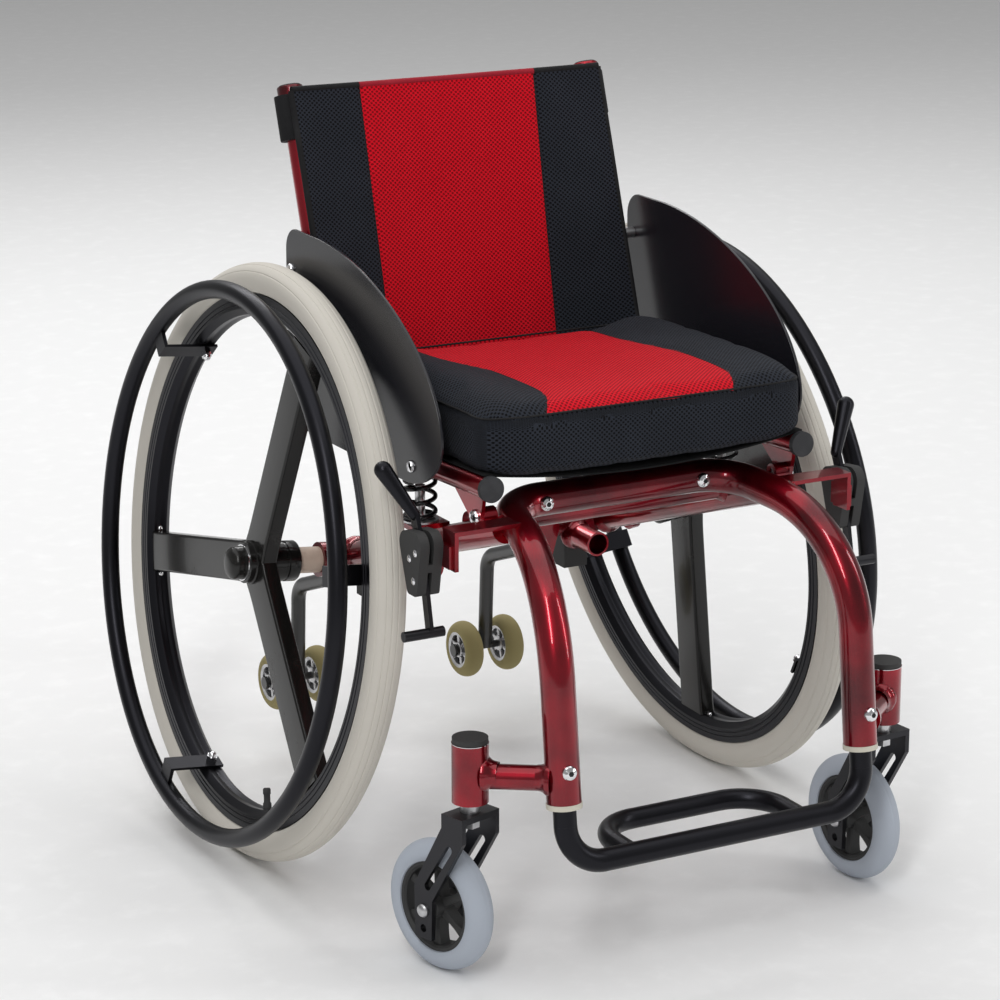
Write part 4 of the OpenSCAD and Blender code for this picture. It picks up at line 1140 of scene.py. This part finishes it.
@dataclass
class FrameTrim:
    """Weld beads, spring coils, side guards and small fittings on the frame and the seat."""

    def weld(self, name: str, at: Sequence[float], z: Sequence[float], radius: float) -> None:
        """A weld fillet: a flared ring round a tube, whose radius ripples a little along its length."""
        flare = [(0.1, 9), (0.5, 5.5), (1.5, 2.6), (3.0, 0.6), (4.4, -1.5), (4.4, -5)]
        profile = [(-0.5, 9), *flare, (-0.5, -5)]
        mesh = lathe([(radius + r, h) for r, h in profile], 200)
        turn = np.arctan2(mesh.points[:, 1], mesh.points[:, 0])
        out = np.clip((np.hypot(mesh.points[:, 0], mesh.points[:, 1]) - radius) / 4.4, 0, 1)
        mesh.points[:, :2] *= (1 + 0.016 * np.abs(np.sin(turn * radius * 0.62)) * out)[:, None]
        add(name, placed(mesh, at, z), LOOK.red, "frame")

    def sockets(self, node: str, body: str) -> None:
        """Paints the shade of a hexagonal socket on each bolt head of a node: a thin dark plate stands in for
        the shade in the recess.

        The bolts are told apart by labels that spread along edges and shared points. A bolt's axis is its
        thinnest direction, and its outer end is the narrower one.

        Args:
            node: The node that holds the bolts.
            body: The body they ride on.
        """
        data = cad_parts[node].data
        count = len(data.vertices)
        co = np.empty(count * 3)
        data.vertices.foreach_get("co", co)
        co = co.reshape(-1, 3) / MM
        edges = np.empty(len(data.edges) * 2, np.int32)
        data.edges.foreach_get("vertices", edges)
        edges = edges.reshape(-1, 2)
        label = np.arange(count)
        same = np.unique(np.round(co, 3), axis=0, return_inverse=True)[1].ravel()
        while True:
            low = np.full(count, count)
            np.minimum.at(low, same, label)
            new = np.minimum(label, low[same])
            np.minimum.at(new, edges[:, 0], new[edges[:, 1]])
            np.minimum.at(new, edges[:, 1], new[edges[:, 0]])
            if (new == label).all():
                break
            label = new
        for n, k in enumerate(np.unique(label)):
            p = np.unique(np.round(co[label == k], 3), axis=0)
            middle = (p.max(0) + p.min(0)) / 2
            axis = np.linalg.svd(p - p.mean(0), full_matrices=False)[2][2]
            h = (p - middle) @ axis
            r = np.linalg.norm(p - middle - h[:, None] * axis, axis=1)
            if r[h > h.max() - 0.6].max() > r[h < h.min() + 0.6].max():
                axis, h = -axis, -h
            tip = middle + axis * h.max()
            turn = np.linspace(0, 2 * math.pi, 6, endpoint=False)
            hexagon = np.stack([np.cos(turn), np.sin(turn)], 1) * min(2.6, r.max() * 0.42)
            # A thin dark plate just proud of the head stands for the shade inside the hex socket.
            mesh = placed(plate(hexagon, 0.5, 0.05), tip - axis * 0.3, axis)
            add(f"{node}_socket_{n + 1}", mesh, LOOK.socket, body, flat=True)

    def spring(self, side: Side) -> None:
        """A round-wire coil with flat ends; height grows evenly except over the first and last half turn."""
        low, high, turns, r, wire = 389.6, 430.0, 3.6, 14.9, 2.3
        t = np.linspace(0, 1, 420)
        rise = np.clip((t * turns - 0.6) / (turns - 1.2), 0, 1)
        z = low + wire + (high - low - 2 * wire) * rise
        a = 2 * math.pi * turns * t
        path = np.stack(
            [side.value * CHAIR.rail_x + r * np.cos(a), CHAIR.shift + CHAIR.spring_y + r * np.sin(a), z], 1
        )
        tangent = np.gradient(path, axis=0)
        tangent /= np.linalg.norm(tangent, axis=1, keepdims=True)
        one = np.stack([np.cos(a), np.sin(a), 0 * a], 1)
        two = np.cross(tangent, one)
        s = np.linspace(0, 2 * math.pi, 12, endpoint=False)
        ring = np.cos(s)[None, :, None] * one[:, None] + np.sin(s)[None, :, None] * two[:, None]
        coil = lattice(path[:, None] + ring * wire, False, True, True)
        node = f"spring_{side.word}"
        piece = add(f"seat_{node}", coil, LOOK.spring, None, [node])
        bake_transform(piece)

    def guard(self, side: Side) -> None:
        """A side guard: a thin plate with chamfered rims, its screws and the spacers behind them.

        The outline's upper front is a superellipse quarter, and its lower front and its rear top are quarters
        of ellipses.
        """
        t = np.linspace(math.pi / 2, 0, 40)
        c, d = np.maximum(np.cos(t), 0) ** 1.11, np.maximum(np.sin(t), 0) ** 1.11
        upper = np.stack([-30 - 271 * c, 489 + 151 * d], 1)
        t = np.linspace(0, math.pi / 2, 20)[1:]
        lower = np.stack([-222 - 79 * np.cos(t), 489 - 53 * np.sin(t)], 1)
        corner = np.stack([14 + 22 * np.cos(t), 617 + 23 * np.sin(t)], 1)
        outline = np.concatenate([upper, lower, [[36, 436], [36, 617]], corner])
        x0, thick = 199.2, 2.9
        turn = np.array([[0.0, 0.0, side.value], [1.0, 0.0, 0.0], [0.0, 1.0, 0.0]])
        mesh = plate(outline, thick, 0.6).moved(turn, (side.value * x0, CHAIR.shift, 0))
        name, node = f"side_guard_{side.word}_plate", f"side_guard_{side.word}"
        add(name, mesh, LOOK.guard, "seat", [node])
        head = lathe([(0.02, 0), (6, 0), (6, 1.2), (5, 2.8), (3, 3.5), (0.02, 3.7)], 32)
        spacer = lathe([(3.2, 0), (6, 0), (6, 14.6), (3.2, 14.6)], 32)
        for name, y, z in (("front", -239, 454), ("rear", 24, 598)):
            out = (side.value, 0, 0)
            at = np.array([side.value * (x0 + thick), y + CHAIR.shift, z])
            add(f"guard_screw_{name}_{side.word}", placed(head, at, out), LOOK.chrome, "seat")
            at[0] = side.value * 184.4
            add(f"guard_spacer_{name}_{side.word}", placed(spacer, at, out), LOOK.steel, "seat")

    def build(self) -> None:
        """Adds every detail on both sides."""
        y0 = CHAIR.shift
        for side in Side:
            k, w = side.value, side.word
            self.spring(side)
            self.guard(side)
            head = np.array([k * CHAIR.head_x, y0 + CHAIR.head_y, CHAIR.head_z])
            leg = np.array([k * CHAIR.leg_x, y0 + CHAIR.leg_y, CHAIR.head_z])
            along = (head - leg) / np.linalg.norm(head - leg)
            self.weld(f"weld_head_{w}", head - along * 17.5, -along, 12.0)
            self.weld(f"weld_stub_{w}", leg + along * 16.5, along, 12.0)
            self.weld(f"weld_side_rear_{w}", (k * 150, y0 - 14.5, 301), (0, -0.945, 0.33), 14.0)
            self.weld(f"weld_cross_{w}", (k * 137, y0 - 256, 394), (-k, 0, 0), 12.5)
            self.weld(f"weld_socket_{w}", (k * 112, y0 - 13, 285), (0, -1, 0), 13.0)
            ring = lathe([(17.3, 235.5), (17.7, 235.5), (17.7, 236.0), (17.3, 236.0)], 72)
            ring = ring.moved(np.eye(3), (k * CHAIR.head_x, y0 + CHAIR.head_y, 0))
            add(f"head_ring_{w}", ring, LOOK.chrome, "frame")
            screw = lathe([(0.02, 0), (3.6, 0), (3.6, 0.9), (2.6, 1.7), (0.02, 2.0)], 24)
            for n, (y, z) in enumerate(((-337, 400), (-325, 392), (-333, 372))):
                at = (k * 248.4, y0 + y, z)
                add(f"brake_screw_{w}_{n + 1}", placed(screw, at, (k, 0, 0)), LOOK.chrome, "frame")
        self.sockets("frame_bolts", "frame")


# ---------------------------------------------------------------- dressing of the CAD nodes


@dataclass
class Dressing:
    """Assigns finishes to the nodes that stay as they are, single ones and those with one on each side."""

    single: dict[str, Finish] = field(
        default_factory=lambda: {
            "front_hoop": LOOK.red,
            "side_tubes": LOOK.red,
            "rear_cross_tube": LOOK.red,
            "axle_tube": LOOK.red,
            "socket_tubes": LOOK.red,
            "axle_plates": LOOK.red,
            "seat_rails": LOOK.red,
            "back_posts": LOOK.red,
            "axle_sleeves": LOOK.cream,
            "leg_collars": LOOK.collar,
            "axle_pins": LOOK.steel,
            "spring_rods": LOOK.steel,
            "head_caps": LOOK.plastic,
            "anti_tip_clamps": LOOK.plastic,
            "frame_bolts": LOOK.chrome,
            "pivot_bolts": LOOK.chrome,
            "footrest": LOOK.black,
            "rail_caps": LOOK.cap,
        }
    )
    paired: dict[str, Finish] = field(
        default_factory=lambda: {
            "head_tube": LOOK.red,
            "brake_bracket": LOOK.red,
            "anti_tip_arm": LOOK.arm,
            "brake_housing": LOOK.plastic,
            "brake_lever": LOOK.black,
            "brake_shoe": LOOK.satin,
            "caster_fork": LOOK.satin,
            "caster_hardware": LOOK.steel,
            "handrim": LOOK.black,
            "handrim_nuts": LOOK.chrome,
        }
    )

    def build(self) -> None:
        """Gives each node its material."""
        pairs = {f"{name}_{side.word}": finish for name, finish in self.paired.items() for side in Side}
        for name, finish in (self.single | pairs).items():
            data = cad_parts[name].data
            data.materials.clear()
            data.materials.append(finish.material())
            LOG.info("%s dressed in %s", name, finish.name)


# ---------------------------------------------------------------- studio


@dataclass
class Studio:
    """Floor, lights, sky and camera."""

    azimuth: float = math.radians(-28.69)
    elevation: float = math.radians(15.76)
    distance: float = 3.4398
    target: tuple[float, float, float] = (0.0192, 0.0805, 0.33435)
    lens: float = 117.56

    def floor(self) -> None:
        """A broad pale floor."""
        x = np.linspace(-16, 16, 3)
        gx, gy = np.meshgrid(x, x)
        skin = lattice(np.stack([gx, gy, np.full_like(gx, -0.0004)], -1), False, False)
        data = bpy.data.meshes.new("floor")
        data.from_pydata(skin.points.tolist(), [], skin.faces)
        data.materials.append(LOOK.floor.material())
        obj = bpy.data.objects.new("floor", data)
        bpy.context.scene.collection.objects.link(obj)

    def light(self, name: str, at: Sequence[float], size: Sequence[float], watts: float) -> None:
        """An area light at a place, aimed at the chair's middle."""
        lamp = bpy.data.lights.new(name, "AREA")
        lamp.shape = "RECTANGLE"
        lamp.size, lamp.size_y = size
        lamp.energy = watts
        obj = bpy.data.objects.new(name, lamp)
        obj.location = at
        obj.rotation_mode = "QUATERNION"
        obj.rotation_quaternion = (Vector(at) - Vector((0, 0, 0.35))).to_track_quat("Z", "Y")
        bpy.context.scene.collection.objects.link(obj)

    def sky(self) -> None:
        """A plain pale surround."""
        world = bpy.data.worlds.new("studio")
        world.use_nodes = True
        back = world.node_tree.nodes["Background"]
        back.inputs["Color"].default_value = (1.0, 1.0, 1.0, 1.0)
        back.inputs["Strength"].default_value = 0.3
        bpy.context.scene.world = world
        bpy.context.scene.view_settings.view_transform = "Standard"

    def camera(self) -> None:
        """The camera, on a sphere round its target."""
        level, rise = math.cos(self.elevation), math.sin(self.elevation)
        back = Vector((math.sin(self.azimuth) * level, -math.cos(self.azimuth) * level, rise))
        lens = bpy.data.cameras.new("camera")
        lens.lens = self.lens
        lens.sensor_width = 36.0
        lens.clip_end = 60.0
        obj = bpy.data.objects.new("camera", lens)
        obj.location = Vector(self.target) + back * self.distance
        obj.rotation_mode = "QUATERNION"
        obj.rotation_quaternion = back.to_track_quat("Z", "Y")
        bpy.context.scene.collection.objects.link(obj)
        bpy.context.scene.camera = obj

    def build(self) -> None:
        """Sets up the whole studio."""
        self.floor()
        self.sky()
        self.light("key", (-2.4, -2.8, 3.2), (0.5, 2.8), 62)
        self.light("fill", (3.2, -2.2, 1.8), (0.4, 2.6), 26)
        self.light("rim", (0.6, 3.2, 2.8), (3.0, 0.6), 38)
        self.light("top", (0.0, 0.6, 4.6), (7.0, 7.0), 165)
        self.camera()


def main() -> None:
    """Builds the studio, then dresses and details the chair."""
    logging.basicConfig(level=logging.INFO, format="%(name)s: %(message)s")
    Studio().build()
    Dressing().build()
    for side, spin, turn in ((Side.LEFT, 2.0, math.radians(5)), (Side.RIGHT, 78.0, math.radians(16))):
        RearWheel(side, spin).build()
        Caster(side, turn).build()
        Roller(side, "inner", CHAIR.arm_x - CHAIR.roller_off).build()
        Roller(side, "outer", CHAIR.arm_x + CHAIR.roller_off).build()
    Sling().build()
    Cushion().build()
    BackRest().build()
    FrameTrim().build()


if __name__ == "__main__":
    main()
